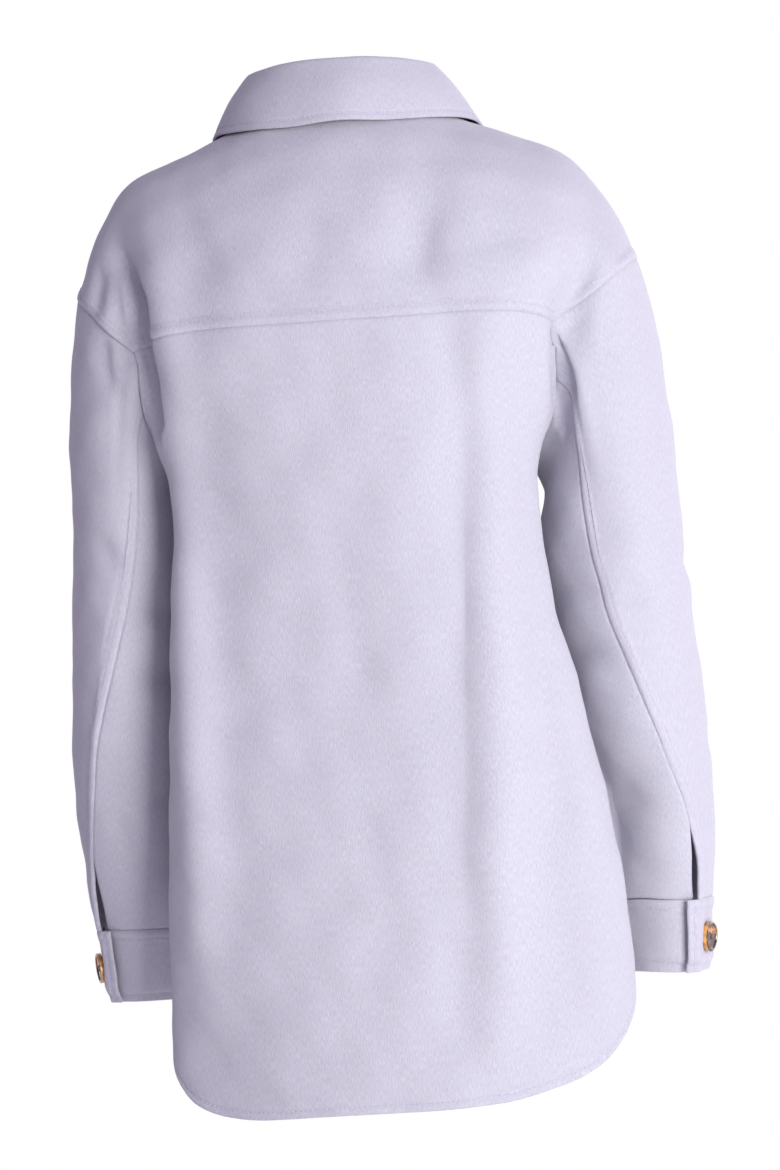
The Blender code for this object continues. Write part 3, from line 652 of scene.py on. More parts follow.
    def hem_place(self, angle: Array) -> Array:
        """Return the hem's place in the stack of rings at angles round the trunk."""
        angles, heights = zip(*self.hem)
        z = sum(np.interp(angle + off, angles, heights) for off in self.hem_soften)
        top, bottom = self.rings[HIP].z_side, self.rings[LOWEST].z_side
        return HIP + (z / len(self.hem_soften) - top) / (bottom - top)

    def yoke_edge(self, angle: Array) -> Array:
        """Return the place of the yoke's outer edge, across the back and round the arm."""
        a = np.abs(angle)
        end, low = self.yoke_end_angle, self.yoke_end
        seam = TIP + (low - TIP) * (a / end) ** 2
        behind = TIP + (low - TIP) * (np.clip(90 - a, 0, None) / (90 - end)) ** 1.5
        ahead = ((a - 90) / (self.shoulder_angle - 90)) ** 2
        before = TIP - (TIP - self.shoulder_end) * ahead
        return np.where(a < end, seam, np.where(a < 90, behind, before))

    @staticmethod
    def armhole_angle(place: Array, end_angle: float, end_place: float, scoop: float) -> Array:
        """Return the angle of an armhole's edge, from the end of the yoke to the underarm."""
        share = np.clip((place - end_place) / (UNDERARM - end_place), 0, 1)
        return end_angle + (90 - end_angle) * share**1.5 + scoop * np.sin(math.pi * share)

    def back_edge(self, place: Array) -> Array:
        """Return the angle of the back's side edge at places down it."""
        return self.armhole_angle(place, self.yoke_end_angle, self.yoke_end, self.back_scoop)

    def front_edge(self, place: Array) -> Array:
        """Return the angle of a front's side edge at places down it."""
        end, start = self.shoulder_end, self.shoulder_angle
        angle = self.armhole_angle(place, start, end, self.front_scoop)
        return np.where(place < end, start, angle)

    def yoke(self) -> Array:
        """Return the yoke's dense grid."""
        angle = np.linspace(-self.shoulder_angle, self.shoulder_angle, 361)
        share = np.linspace(0, 1, 121)[:, None]
        return self.surface(np.broadcast_to(angle, (121, 361)), share * self.yoke_edge(angle))

    def back(self) -> Array:
        """Return the back's dense grid."""
        across = np.linspace(-1, 1, 221)
        low_side = float(self.hem_place(np.array(90.0)))
        edge = np.concatenate(
            [np.linspace(self.yoke_end, UNDERARM, 91), np.linspace(UNDERARM, low_side, 191)[1:]]
        )
        share = (edge - edge[0]) / (edge[-1] - edge[0])
        top = self.yoke_edge(across * self.yoke_end_angle)
        low = self.hem_place(across * 90.0)
        place = lerp(top, low, share[:, None])
        return self.surface(np.outer(self.back_edge(edge), across), place)

    def front(self, side: int) -> Array:
        """Lay out a front, with its columns from the shoulder side to the middle.

        Args:
            side: 1 for the wearer's left, -1 for the right.

        Returns:
            Its dense grid.
        """
        low_side = float(self.hem_place(np.array(90.0)))
        edge = np.concatenate(
            [
                np.linspace(0, self.shoulder_end, 91)[:-1],
                np.linspace(self.shoulder_end, UNDERARM, 61),
                np.linspace(UNDERARM, low_side, 191)[1:],
            ]
        )
        share = (edge / edge[-1])[:, None]
        across = np.linspace(0, 1, 121)
        angle = lerp(self.front_edge(edge)[:, None], 180.0, across)
        place = lerp(0.0, self.hem_place(lerp(90.0, 180.0, across)), share)
        points = self.surface(side * angle, place)
        middle = self.through_rings(np.full(len(place), 180.0), place[:, -1])
        reach = points[:, :, 0] - middle[:, None, 0]
        wanted = lerp(reach[:, :1], -side * self.lap, across**0.8)
        order = np.argsort(reach[0] * side)
        for row in range(len(points)):
            known = np.concatenate([[-self.lap], side * reach[row][order]])
            for axis in (1, 2):
                values = points[row, order, axis]
                over = np.interp(self.lap, side * reach[row][order], values)
                mirrored = np.concatenate([[over], values])
                points[row, :, axis] = np.interp(side * wanted[row], known, mirrored)
            points[row, :, 0] = wanted[row] + middle[row, 0]
        if side < 0:
            near = ease((self.lap_blend + self.lap - np.abs(wanted)) / self.lap_blend)
            near = np.where(wanted > -self.lap, 1.0, near)
            points[..., 1] -= self.lap_lift * near
        return points


class Oval(NamedTuple):
    """A level oval round the sleeve."""

    z: float
    centre_x: float
    centre_y: float
    half_width: float
    half_depth: float


class Slant(NamedTuple):
    """A crease round part of the sleeve, at an angle and a height, on a slant."""

    angle: float
    z: float
    slant: float
    width: float
    depth: float


@dataclass(frozen=True)
class Sleeve:
    """The shape of one sleeve and its cuff, laid out as on the left arm.

    side is 1 for the wearer's left arm and -1 for the right one, which is then mirrored.
    """

    trunk: Trunk
    side: int
    ovals: tuple[Oval, ...] = (
        Oval(-0.335, 0.1995, 0.002, 0.0510, 0.0700),
        Oval(-0.420, 0.2030, 0.004, 0.0520, 0.0680),
        Oval(-0.500, 0.2080, 0.000, 0.0525, 0.0640),
        Oval(-0.565, 0.2105, -0.008, 0.0520, 0.0590),
        Oval(-0.620, 0.2090, -0.018, 0.0490, 0.0540),
        Oval(-0.660, 0.2060, -0.025, 0.0450, 0.0500),
        Oval(-0.720, 0.2045, -0.033, 0.0440, 0.0485),
    )
    slants: tuple[Slant, ...] = (
        Slant(20.0, -0.235, 260.0, 0.012, 0.0060),
        Slant(-30.0, -0.400, -320.0, 0.012, 0.0040),
        Slant(-45.0, -0.455, -260.0, 0.012, 0.0045),
        Slant(150.0, -0.430, 240.0, 0.014, 0.0050),
        Slant(170.0, -0.500, 260.0, 0.014, 0.0040),
    )
    cuff_top: float = -0.660
    cuff_end: float = -0.720
    # how evenly the columns are spread at the top, and the height over which they become even
    settled: float = 0.35
    settle: float = 0.20
    # how far the cap leaves the armhole sideways, for each length down
    underarm_splay: float = 1.15
    outer_splay: float = 0.28
    # height, and the angle of the back seam there on the left and on the right sleeve
    seam_line: tuple[tuple[float, float, float], ...] = (
        (-0.300, -24, -26), (-0.350, 0, -15), (-0.410, 15, -4), (-0.470, 21, 6),
        (-0.515, 25, 14), (-0.560, 31, 25), (-0.596, 41, 39), (-0.660, 46, 46),
    )
    front_seam: float = 205.0
    slit_top: float = -0.596
    slit_open: float = 0.0040
    # degrees that the cuff's ends run on past the slit
    lap_angle: float = 34.0
    lead_angle: float = 11.0
    # how far the cuff's lower edge turns in, and over what height
    tuck: float = 0.0040
    tuck_reach: float = 0.014
    # how far the slit's upper edge stands off the arm, and the degrees that it takes to lie down
    lift: float = 0.0034
    lift_hold: float = 42.0
    lift_blend: float = 60.0
    curl: float = 0.0040
    curl_reach: float = 13.0
    # the corner at the back seam: how far out, degrees wide, height of its top and its blend
    corner: tuple[float, float, float, float] = (0.006, 30.0, -0.335, 0.110)
    # the right sleeve's swell: how far out, its angle, degrees wide, height and half its length
    swell: tuple[float, float, float, float, float] = (0.0130, 275.0, 50.0, -0.375, 0.085)
    slant_reach: float = 38.0
    gape_reach: float = 0.022
    # columns of the upper sleeve, and of the whole sleeve
    upper_share: float = 14.0
    whole: float = 20.0
    tube_step: float = 0.325 / 14

    def loop(self, w: Array) -> Array:
        """Return the armhole's points at w, from midway up its back, outwards and round."""
        t = self.trunk
        behind = lerp(t.yoke_end, UNDERARM, np.where(w < 10, 3 - w, 23 - w) / 6)
        over = lerp(t.yoke_end_angle, t.shoulder_angle, (w - 3) / 8)
        ahead = lerp(t.shoulder_end, UNDERARM, (w - 11) / 6)
        parts = [(w >= 3) & (w <= 11), (w > 11) & (w < 17)]  # along the yoke, down the front
        angle = np.select(parts, [over, t.front_edge(ahead)], t.back_edge(behind))
        place = np.select(parts, [t.yoke_edge(over), ahead], behind)
        return t.surface(angle * self.side, place) * np.array([self.side, 1.0, 1.0])

    def oval_at(self, z: Array) -> Array:
        """Return the centre and half sizes of the sleeve at heights."""
        heights = [-oval.z for oval in self.ovals]
        place = np.interp(-z, heights, range(len(self.ovals)))
        flat = np.array([oval[1:] for oval in self.ovals])
        return read_rows(flat[None], place.reshape(1, -1)).reshape(*z.shape, -1)

    def tube(self, angle: Array, z: Array, out: Any = 0.0) -> Array:
        """Return points on the sleeve.

        Args:
            angle: Degrees from the back of the arm, outwards.
            z: Heights.
            out: How far the points stand off the arm.

        Returns:
            The points.
        """
        angle, z = np.broadcast_arrays(np.asarray(angle, float), np.asarray(z, float))
        shape = self.oval_at(z)
        turn = np.radians(angle)
        dip = np.zeros(z.shape)
        for crease in self.slants:
            turned = (angle - crease.angle + 180) % 360 - 180
            off = z - crease.z - turned * crease.width / abs(crease.slant)
            reach = np.exp(-((turned / self.slant_reach) ** 2))
            dip += crease.depth * reach * np.exp(-((off / crease.width) ** 2))
        grow = out - dip
        x = shape[..., 0] + (shape[..., 2] + grow) * np.sin(turn)
        y = shape[..., 1] + (shape[..., 3] + grow) * np.cos(turn)
        return np.stack([x, y, z], -1)

    def seam_angle(self, z: Array) -> Array:
        """Return where the back seam lies: inside the arm at the top, outside at the cuff."""
        heights = [-point[0] for point in self.seam_line]
        angles = [point[1 if self.side > 0 else 2] for point in self.seam_line]
        soften = (-0.02, -0.01, 0.0, 0.01, 0.02)
        return sum(np.interp(off - z, heights, angles) for off in soften) / len(soften)

    def even_angle(self, w: Array, z: Array) -> Array:
        """Return the angles of evenly spread columns w at heights."""
        seam = self.seam_angle(z)
        upper = lerp(seam, self.front_seam, w / self.upper_share)
        spare = self.whole - self.upper_share
        under = lerp(self.front_seam, seam + 360, (w - self.upper_share) / spare)
        return np.where(w <= self.upper_share, upper, under)

    def stand_out(self, angle: Array, z: Array) -> Array:
        """Measure how far the sleeve stands out at its seam's corner, and where it swells.

        Args:
            angle: Degrees round the arm.
            z: Heights.

        Returns:
            The distances.
        """
        depth, width, top, blend = self.corner
        off = (angle - self.seam_angle(z) + 180) % 360 - 180
        corner = depth * np.exp(-np.abs(off) / width) * ease((top - z) / blend)
        if self.side > 0:
            return corner
        depth, middle, width, height, blend = self.swell
        away = ((angle - middle + 180) % 360 - 180) / width
        return corner + depth * np.exp(-(away**2) - ((z - height) / blend) ** 2)

    def lap_lift(self, past_seam: Array, z: Array) -> Array:
        """Return how far the slit's upper edge and the cuff's upper end stand off the arm."""
        near = ease((self.lift_hold + self.lift_blend - past_seam) / self.lift_blend)
        depth = (self.slit_top - z) / (self.slit_top - self.cuff_top)
        curl = self.curl * ease(1.0 - past_seam / self.curl_reach)
        return (self.lift * near + curl) * ease(depth)

    def down_arm(self, w: Array, natural: Array, z: Array, lifted: bool) -> Array:
        """Return the tube's points for columns w at heights, lifted on the upper sleeve."""
        top = self.ovals[0].z
        even = self.even_angle(w, z)
        share = self.settled + (1 - self.settled) * ease((top - z) / self.settle)
        angle = lerp(natural, even, share)
        lift = self.lap_lift(angle - self.seam_angle(z), z) if lifted else 0.0
        return self.tube(angle, z, lift + self.stand_out(angle, z))

    def panel(self, upper: bool) -> Array:
        """Lay out the upper or the under sleeve.

        Args:
            upper: True for the upper sleeve.

        Returns:
            Its dense grid, rows down the arm, columns from the back seam to the front seam or on.
        """
        full = np.linspace(0, self.whole, 401)
        loop = self.loop(full)
        centre = self.ovals[0]
        turn = np.arctan2(loop[:, 0] - centre.centre_x, loop[:, 1] - centre.centre_y)
        natural = np.degrees(np.unwrap(turn))
        keep = full <= self.upper_share if upper else full >= self.upper_share
        w, natural, loop = full[keep][None], natural[keep][None], loop[keep][None]
        top = centre.z
        first = self.down_arm(w, natural, np.full_like(w, top), upper)
        second = self.down_arm(w, natural, np.full_like(w, top - self.tube_step), upper)
        length = np.linalg.norm(first - loop, axis=-1, keepdims=True)
        outward = np.sin(np.radians(natural))
        aside = outward * np.where(outward > 0, self.outer_splay, -self.underarm_splay)
        start = unit(np.stack([aside, np.zeros_like(w), -np.ones_like(w)], -1)) * length
        finish = unit(second - first) * length
        u = np.linspace(0, 1, 61)[:-1, None, None]
        cap = hermite(loop, start, first, finish, u)
        z = np.linspace(top, self.cuff_top, 161)[:, None]
        tube = self.down_arm(w, natural, z, upper)
        self._gape(tube, z[:, 0], upper)
        return np.concatenate([cap, tube])

    def _gape(self, tube: Array, heights: Array, upper: bool) -> None:
        """Draw the slit's edge back, most at the middle of its height."""
        share = np.clip((self.slit_top - heights) / (self.slit_top - self.cuff_top), 0, 1)
        gape = self.slit_open * np.sin(math.pi * share) / 2
        order = slice(None) if upper else slice(None, None, -1)
        view = tube[:, order]
        run = run_along(view, 1)
        towards = unit(view[:, 12:13] - view[:, :1])
        near = np.clip(1.0 - run / self.gape_reach, 0.0, 1.0)[..., None]
        view += towards * near * gape[:, None, None]

    def cuff(self) -> Array:
        """Return the cuff's dense grid, whose upper end laps over its under end."""
        w = np.linspace(0, self.whole, 261)
        z = np.array(self.cuff_top)
        angle = self.even_angle(w, z)
        seam = angle[0]
        lap = angle[-1] + np.linspace(0, self.lap_angle, 31)[1:]
        lead = seam + np.linspace(-self.lead_angle, 0, 13)[:-1]
        height = np.linspace(self.cuff_top, self.cuff_end, 31)[:, None]
        angle = np.concatenate([lead, angle, lap])[None]
        lift = self.lap_lift(angle - seam, z) + self.stand_out(angle, z)
        tuck = self.tuck * ease((self.cuff_end + self.tuck_reach - height) / self.tuck_reach)
        return self.tube(np.broadcast_to(angle, (31, angle.shape[1])), height, lift - tuck)


@dataclass
class ArmholeSeam:
    """The line where a sleeve meets the trunk, and the way that both turn their edges there."""

    sleeve: Sleeve
    reach: float = 0.012
    trunk_slope: float = 0.35

    def __post_init__(self) -> None:
        """Lay out the seam's line and the normals that both sides share."""
        w = np.linspace(0, self.sleeve.whole, 401)
        self.line = self.sleeve.loop(w)
        cap = [self.sleeve.panel(True)[:6], self.sleeve.panel(False)[:6, 1:]]
        arm = grid_normals(np.concatenate(cap, axis=1))[0]
        trunk = unit(self.line * np.array([1.0, 1.0, self.trunk_slope]))
        self.shared = unit(arm + trunk)
        if self.sleeve.side < 0:
            self.line = self.line * MIRROR
            self.shared = self.shared * MIRROR

    def share(self, grid: Array, normals: Array) -> Array:
        """Turn a panel's normals towards the shared ones near the seam.

        Args:
            grid: The panel's points.
            normals: Its own normals.

        Returns:
            The normals to use.
        """
        flat = grid.reshape(-1, 3)
        low, high = self.line.min(0) - self.reach, self.line.max(0) + self.reach
        near = np.where(((flat > low) & (flat < high)).all(1))[0]
        ways = normals.reshape(-1, 3).copy()
        for part in np.array_split(near, max(1, len(near) // 2000)):
            gaps = np.linalg.norm(flat[part][:, None] - self.line[None], axis=-1)
            best = gaps.argmin(1)
            amount = 1.0 - ease(gaps[np.arange(len(part)), best] / self.reach)
            ways[part] = unit(lerp(ways[part], self.shared[best], amount[:, None]))
        return ways.reshape(grid.shape)


@dataclass(frozen=True)
class Collar:
    """The collar: a stand on the neckline and a fall that rolls over it."""

    trunk: Trunk
    setback: float = 0.006
    # height of the stand at the back and in front, and how far its top leans in
    stand_back: float = 0.031
    stand_front: float = 0.020
    lean: float = 0.004
    # section of the roll: how far out and how far up from the stand's top
    roll: tuple[tuple[float, float], ...] = (
        (-0.0026, 0.0003), (-0.0022, 0.0036), (-0.0004, 0.0060), (0.0026, 0.0068), (0.0056, 0.0050),
    )
    fall_rows: int = 5
    # place on the trunk of the fall's edge: at the back, at the side and at its points
    fall_back: float = 0.64
    fall_side: float = 0.86
    fall_point: float = 2.05
    # how far the fall's edge lies off the trunk, and how far its middle bulges
    clear: float = 0.0034
    bulge: float = 0.0035
    bulge_rise: float = 0.6
    point_angle: float = 160.0
    dip_angle: float = 80.0
    dip_power: float = 1.2
    middle: tuple[float, float, float] = (0.0, -0.005, 0.0)
    forward_reach: float = 0.07

    def neck_line(self) -> Array:
        """Return the neckline, from the right front round the back to the left front."""
        yoke = self.trunk.yoke()[0]
        right, left = self.trunk.front(-1)[0], self.trunk.front(1)[0]
        on_right = right[right[:, 0] < -self.setback]
        on_left = left[left[:, 0] > self.setback]
        line = np.concatenate([on_right[::-1], yoke[1:], on_left[1:]])
        run = run_along(line[None], 1)[0]
        even = np.linspace(0, run[-1], 221)
        place = np.interp(even, run, np.arange(len(line)))
        return read_rows(line[None], place[None])[0]

    def stand(self) -> Array:
        """Return the stand's dense grid, rows from its top down to the neckline."""
        line = self.neck_line()
        out = unit((line - np.array(self.middle)) * np.array([1.0, 1.0, 0.0]))
        forward = ease(-line[:, 1:2] / self.forward_reach)
        height = lerp(self.stand_back, self.stand_front, forward)
        top = line + height * np.array([0.0, 0.0, 1.0]) - self.lean * out
        return lerp(top, line, np.linspace(0, 1, 31)[:, None, None])

    def fall(self) -> Array:
        """Return the fall's dense grid, rows from the stand's top over the roll to its edge."""
        stand = self.stand()
        top = stand[0]
        along = unit(np.gradient(top, axis=0))
        out = unit(np.cross(along, stand[10] - top))
        up = np.cross(along, out)
        rows = [top + out * reach + up * rise for reach, rise in self.roll]
        angle = np.degrees(np.arctan2(top[:, 0], top[:, 1]))
        lie = np.abs(angle) / np.abs(angle).max() * self.point_angle
        place = lerp(self.fall_back, self.fall_side, (np.clip(lie, 0, 90) / 90) ** 2)
        low = self.dip_angle
        dip = ease((lie - low) / (self.point_angle - low)) ** self.dip_power
        place += (self.fall_point - self.fall_side) * dip
        edge_angle = np.sign(angle) * lie
        t = self.trunk
        rest = t.surface(edge_angle, place)
        across = t.surface(edge_angle + 0.5, place) - t.surface(edge_angle - 0.5, place)
        down = t.surface(edge_angle, place + 0.02) - t.surface(edge_angle, place - 0.02)
        near = ease((t.lap_blend - np.abs(rest[:, :1])) / t.lap_blend)
        edge = rest + unit(np.cross(across, down)) * (self.clear + t.lap_lift * near)
        last = rows[-1]
        bulge_way = unit(out + up * self.bulge_rise)
        for share in np.linspace(0, 1, self.fall_rows + 1)[1:]:
            bulge = self.bulge * math.sin(math.pi * share)
            rows.append(lerp(last, edge, share) + bulge_way * bulge)
        coarse = np.array(rows).transpose(1, 0, 2)
        fine = np.linspace(0, len(rows) - 1, 91)
        return read_rows(coarse, np.tile(fine, (len(coarse), 1))).transpose(1, 0, 2)


class Value:
    """A shader socket that takes part in sums, as Math nodes."""

    def __init__(self, tree: "Shader", socket: bpy.types.NodeSocket) -> None:
        """Keep the socket and the shader that it belongs to."""
        self.tree = tree
        self.socket = socket

    def beside(self, name: str) -> "Value":
        """Return another output of the same node."""
        return Value(self.tree, self.socket.node.outputs[name])

    def _sum(self, kind: str, first: Any, second: Any) -> "Value":
        """Add a Math node on two values."""
        return self.tree.node("ShaderNodeMath", {"operation": kind}, {0: first, 1: second})

    def __add__(self, other: Any) -> "Value":
        """Add."""
        return self._sum("ADD", self, other)

    __radd__ = __add__

    def __sub__(self, other: Any) -> "Value":
        """Subtract."""
        return self._sum("SUBTRACT", self, other)

    def __rsub__(self, other: Any) -> "Value":
        """Subtract from a number."""
        return self._sum("SUBTRACT", other, self)

    def __mul__(self, other: Any) -> "Value":
        """Multiply."""
        return self._sum("MULTIPLY", self, other)

    __rmul__ = __mul__


class Shader:
    """A material under construction."""

    def __init__(self, name: str) -> None:
        """Start a material with a Principled shader."""
        self.material = bpy.data.materials.new(name)
        self.material.use_nodes = True
        self.nodes = self.material.node_tree.nodes
        self.links = self.material.node_tree.links
        self.surface = self.nodes["Principled BSDF"]

    @classmethod
    def of(cls, tree: bpy.types.NodeTree) -> "Shader":
        """Take over a node tree that is there already."""
        made = cls.__new__(cls)
        made.nodes, made.links = tree.nodes, tree.links
        return made

    def _give(self, socket: bpy.types.NodeSocket, value: Any) -> None:
        """Link or set one socket."""
        if isinstance(value, Value):
            self.links.new(value.socket, socket)
        else:
            socket.default_value = value

    def node(
        self,
        kind: str,
        settings: dict[str, Any] | None = None,
        sockets: dict[Any, Any] | None = None,
        out: Any = 0,
    ) -> Value:
        """Add a node.

        Args:
            kind: The node's type.
            settings: Its settings, and the stops of a ramp under the name stops.
            sockets: Values or links of its input sockets.
            out: The output socket to return.

        Returns:
            The output as a value.
        """
        made = self.nodes.new(kind)
        for name, value in (settings or {}).items():
            if name == "stops":
                ramp = made.color_ramp.elements
                while len(ramp) < len(value):
                    ramp.new(0.5)
                for stop, (place, colour) in zip(ramp, value):
                    stop.position = place
                    stop.color = colour
            else:
                setattr(made, name, value)
        for name, value in (sockets or {}).items():
            self._give(made.inputs[name], value)
        return Value(self, made.outputs[out])

    def noise(self, where: Value, scale: float, detail: float, rough: float = 0.5) -> Value:
        """Add a noise pattern, from 0 to 1."""
        sockets = {"Vector": where, "Scale": scale, "Detail": detail, "Roughness": rough}
        return self.node("ShaderNodeTexNoise", {}, sockets)

    def stretch(self, where: Value, amounts: tuple[float, float, float]) -> Value:
        """Stretch a vector by an amount along each axis."""
        return self.node("ShaderNodeVectorMath", {"operation": "MULTIPLY"}, {0: where, 1: amounts})

    def ramp(self, value: Value, low: float, high: float, bottom: float, top: float) -> Value:
        """Map a value from one range to another, and hold it there."""
        sockets = {0: value, 1: low, 2: high, 3: bottom, 4: top}
        return self.node("ShaderNodeMapRange", {"clamp": True}, sockets)

    def blend(self, share: Any, start: Any, end: Any) -> Value:
        """Mix two colours."""
        sockets = {0: share, 6: start, 7: end}
        return self.node("ShaderNodeMix", {"data_type": "RGBA"}, sockets, out=2)

    def bump(self, height: Value, depth: float, strength: float) -> Value:
        """Turn a height into a bumped normal."""
        sockets = {"Strength": strength, "Distance": depth, "Height": height}
        return self.node("ShaderNodeBump", {}, sockets, out="Normal")

    def finish(self, values: dict[str, Any]) -> bpy.types.Material:
        """Set the Principled shader's sockets and return the material."""
        for name, value in values.items():
            self._give(self.surface.inputs[name], value)
        return self.material


@dataclass(frozen=True)
class WoolFinish:
    """Brushed double-faced wool: a short vertical nap, mottled and matt."""

    name: str = "brushed_wool"
    deep: Colour = (0.378, 0.366, 0.438, 1.0)
    plain: Colour = (0.420, 0.409, 0.480, 1.0)
    light: Colour = (0.506, 0.496, 0.566, 1.0)
    sheen: float = 0.25
    nap_depth: float = 0.00045

    def make(self) -> bpy.types.Material:
        """Make the material."""
        tree = Shader(self.name)
        where = tree.node("ShaderNodeTexCoord", out="UV")
        cloudy = tree.noise(where, 22.0, 3.0, 0.55)
        patchy = tree.noise(tree.stretch(where, (1.0, 0.40, 1.0)), 260.0, 3.0, 0.6)
        nap = tree.noise(tree.stretch(where, (1.0, 0.16, 1.0)), 1300.0, 3.0, 0.65)
        fibre = tree.noise(tree.stretch(where, (1.0, 0.09, 1.0)), 2900.0, 2.0, 0.6)
        tone = cloudy * 0.05 + patchy * 0.12 + nap * 0.85
        dark = tree.ramp(tone, 0.40, 0.58, 0.0, 1.0)
        base = tree.blend(dark, self.deep, self.plain)
        lint = tree.ramp(nap * 0.6 + fibre * 0.5, 0.54, 0.76, 0.0, 0.75)
        colour = tree.blend(lint, base, self.light)
        height = patchy * 0.14 + nap * 0.9 + fibre * 0.4
        return tree.finish(
            {
                "Base Color": colour,
                "Roughness": tree.ramp(nap, 0.3, 0.7, 0.98, 0.88),
                "Normal": tree.bump(height, self.nap_depth, 0.9),
                "Sheen Weight": self.sheen,
                "Sheen Roughness": 0.55,
                "Sheen Tint": (0.93, 0.90, 1.0, 1.0),
                "Specular IOR Level": 0.15,
            }
        )


@dataclass(frozen=True)
class TortoiseshellFinish:
    """Polished tortoiseshell: amber clouds in dark brown under a clear gloss, with painted light from
    above.
    """

    name: str = "polished_tortoiseshell"
    dark: Colour = (0.020, 0.008, 0.004, 1.0)
    brown: Colour = (0.110, 0.035, 0.012, 1.0)
    amber: Colour = (0.400, 0.165, 0.030, 1.0)
    gold: Colour = (0.640, 0.340, 0.090, 1.0)

    def make(self) -> bpy.types.Material:
        """Make the material."""
        tree = Shader(self.name)
        where = tree.node("ShaderNodeTexCoord", out="Object")
        face = tree.node("ShaderNodeTexCoord", out="UV")
        # over runs up each button's face; it carries painted light from above
        over = tree.node("ShaderNodeSeparateXYZ", {}, {0: face}).beside("Y")
        drift = tree.noise(where, 60.0, 3.0, 0.6)
        cloud = tree.noise(tree.stretch(where, (1.0, 1.0, 1.6)), 95.0, 4.0, 0.55)
        # the clouds are the shell's own pattern; over adds painted light, more amber at the top and
        # darker at the bottom
        share = cloud * 0.75 + drift * 0.45 + over * 0.30
        stops = [(0.62, self.dark), (0.69, self.brown), (0.76, self.amber), (0.88, self.gold)]
        colour = tree.node("ShaderNodeValToRGB", {"stops": stops}, {0: share})
        fine = tree.noise(where, 900.0, 2.0)
        return tree.finish(
            {
                "Base Color": colour,
                "Roughness": tree.ramp(fine, 0.3, 0.7, 0.16, 0.24),
                "Coat Weight": 0.6,
                "Coat Roughness": 0.08,
            }
        )


@dataclass(frozen=True)
class ThreadFinish:
    """Sewing thread, a shade darker than the wool and a little shiny."""

    name: str = "lilac_thread"
    shade: Colour = (0.400, 0.360, 0.500, 1.0)
    light: Colour = (0.520, 0.480, 0.620, 1.0)

    def make(self) -> bpy.types.Material:
        """Make the material."""
        tree = Shader(self.name)
        where = tree.node("ShaderNodeTexCoord", out="Object")
        twist = tree.noise(where, 1800.0, 2.0)
        return tree.finish(
            {
                "Base Color": tree.blend(twist, self.shade, self.light),
                "Roughness": tree.ramp(twist, 0.3, 0.7, 0.6, 0.75),
                "Normal": tree.bump(twist, 0.0001, 0.5),
            }
        )


@dataclass(frozen=True)
class FloorFinish:
    """Plain pale floor."""

    name: str = "pale_floor"
    colour: Colour = (0.86, 0.86, 0.865, 1.0)

    def make(self) -> bpy.types.Material:
        """Make the material."""
        tree = Shader(self.name)
        return tree.finish({"Base Color": self.colour, "Roughness": 0.9})


SHOULDER_CREASES = creases(
    View.BEHIND,
    # deep fold under the left shoulder, sharp on the side of the back
    (
        (
            (0.187, -0.100), (0.1735, -0.127), (0.1660, -0.149), (0.1635, -0.180),
            (0.1620, -0.200), (0.1570, -0.250),
        ),
        (0.0080, 0.0028), 0.0290, (0.05, 0.6),
    ),
    # hollow and ridge beside it
    (((0.2030, -0.105), (0.2080, -0.135), (0.2085, -0.165)), (0.006, 0.013), 0.0070),
    (((0.1820, -0.108), (0.1805, -0.150), (0.1780, -0.185)), (0.0055, 0.0055), -0.0030),
    # shallow fold under the right shoulder
    (
        (
            (-0.1920, -0.112), (-0.1940, -0.149), (-0.1810, -0.174), (-0.1760, -0.210),
            (-0.1740, -0.260),
        ),
        (0.0110, 0.0110), 0.0085,
    ),
    # sharp corner of the back above the right underarm
    (
        ((-0.1665, -0.172), (-0.1650, -0.205), (-0.1620, -0.270)),
        (0.0035, 0.0110), 0.0130, (0.1, 0.3),
    ),
)
BACK_CREASES = SHOULDER_CREASES + creases(
    View.BEHIND,
    # hollow on the yoke, and the swells that run down the right half of the back below it
    (((-0.078, -0.080), (-0.063, -0.125), (-0.058, -0.165)), (0.024, 0.014), 0.0040),
    (((-0.088, -0.200), (-0.076, -0.450), (-0.060, -0.740)), (0.022, 0.080), -0.0075),
    (((-0.090, -0.215), (-0.082, -0.480), (-0.070, -0.760)), (0.070, 0.050), -0.0040),
    (((-0.114, -0.215), (-0.104, -0.480), (-0.094, -0.780)), (0.030, 0.026), -0.0040),
    # swell down the left side
    (((0.142, -0.230), (0.142, -0.500), (0.144, -0.760)), (0.018, 0.024), -0.0060),
    # faint hollows
    (((0.030, -0.060), (0.020, -0.120), (0.028, -0.165)), (0.018, 0.014), 0.0014),
    (((0.062, -0.330), (0.055, -0.450), (0.060, -0.560)), (0.016, 0.020), 0.0014),
    (((0.005, -0.540), (-0.004, -0.640), (0.004, -0.740)), (0.018, 0.016), 0.0012),
    (((-0.115, -0.560), (-0.122, -0.640), (-0.118, -0.740)), (0.014, 0.018), 0.0014),
)
CUFF_CREASES = creases(
    View.BEHIND,
    # hollow and ridge down the right sleeve and its cuff
    (((-0.1680, -0.500), (-0.1740, -0.600), (-0.1800, -0.730)), (0.012, 0.048), 0.0160, (0.0, 0.9)),
    (((-0.2360, -0.460), (-0.2400, -0.580), (-0.2380, -0.720)), (0.022, 0.012), -0.0030, (0.0, 0.8)),
)
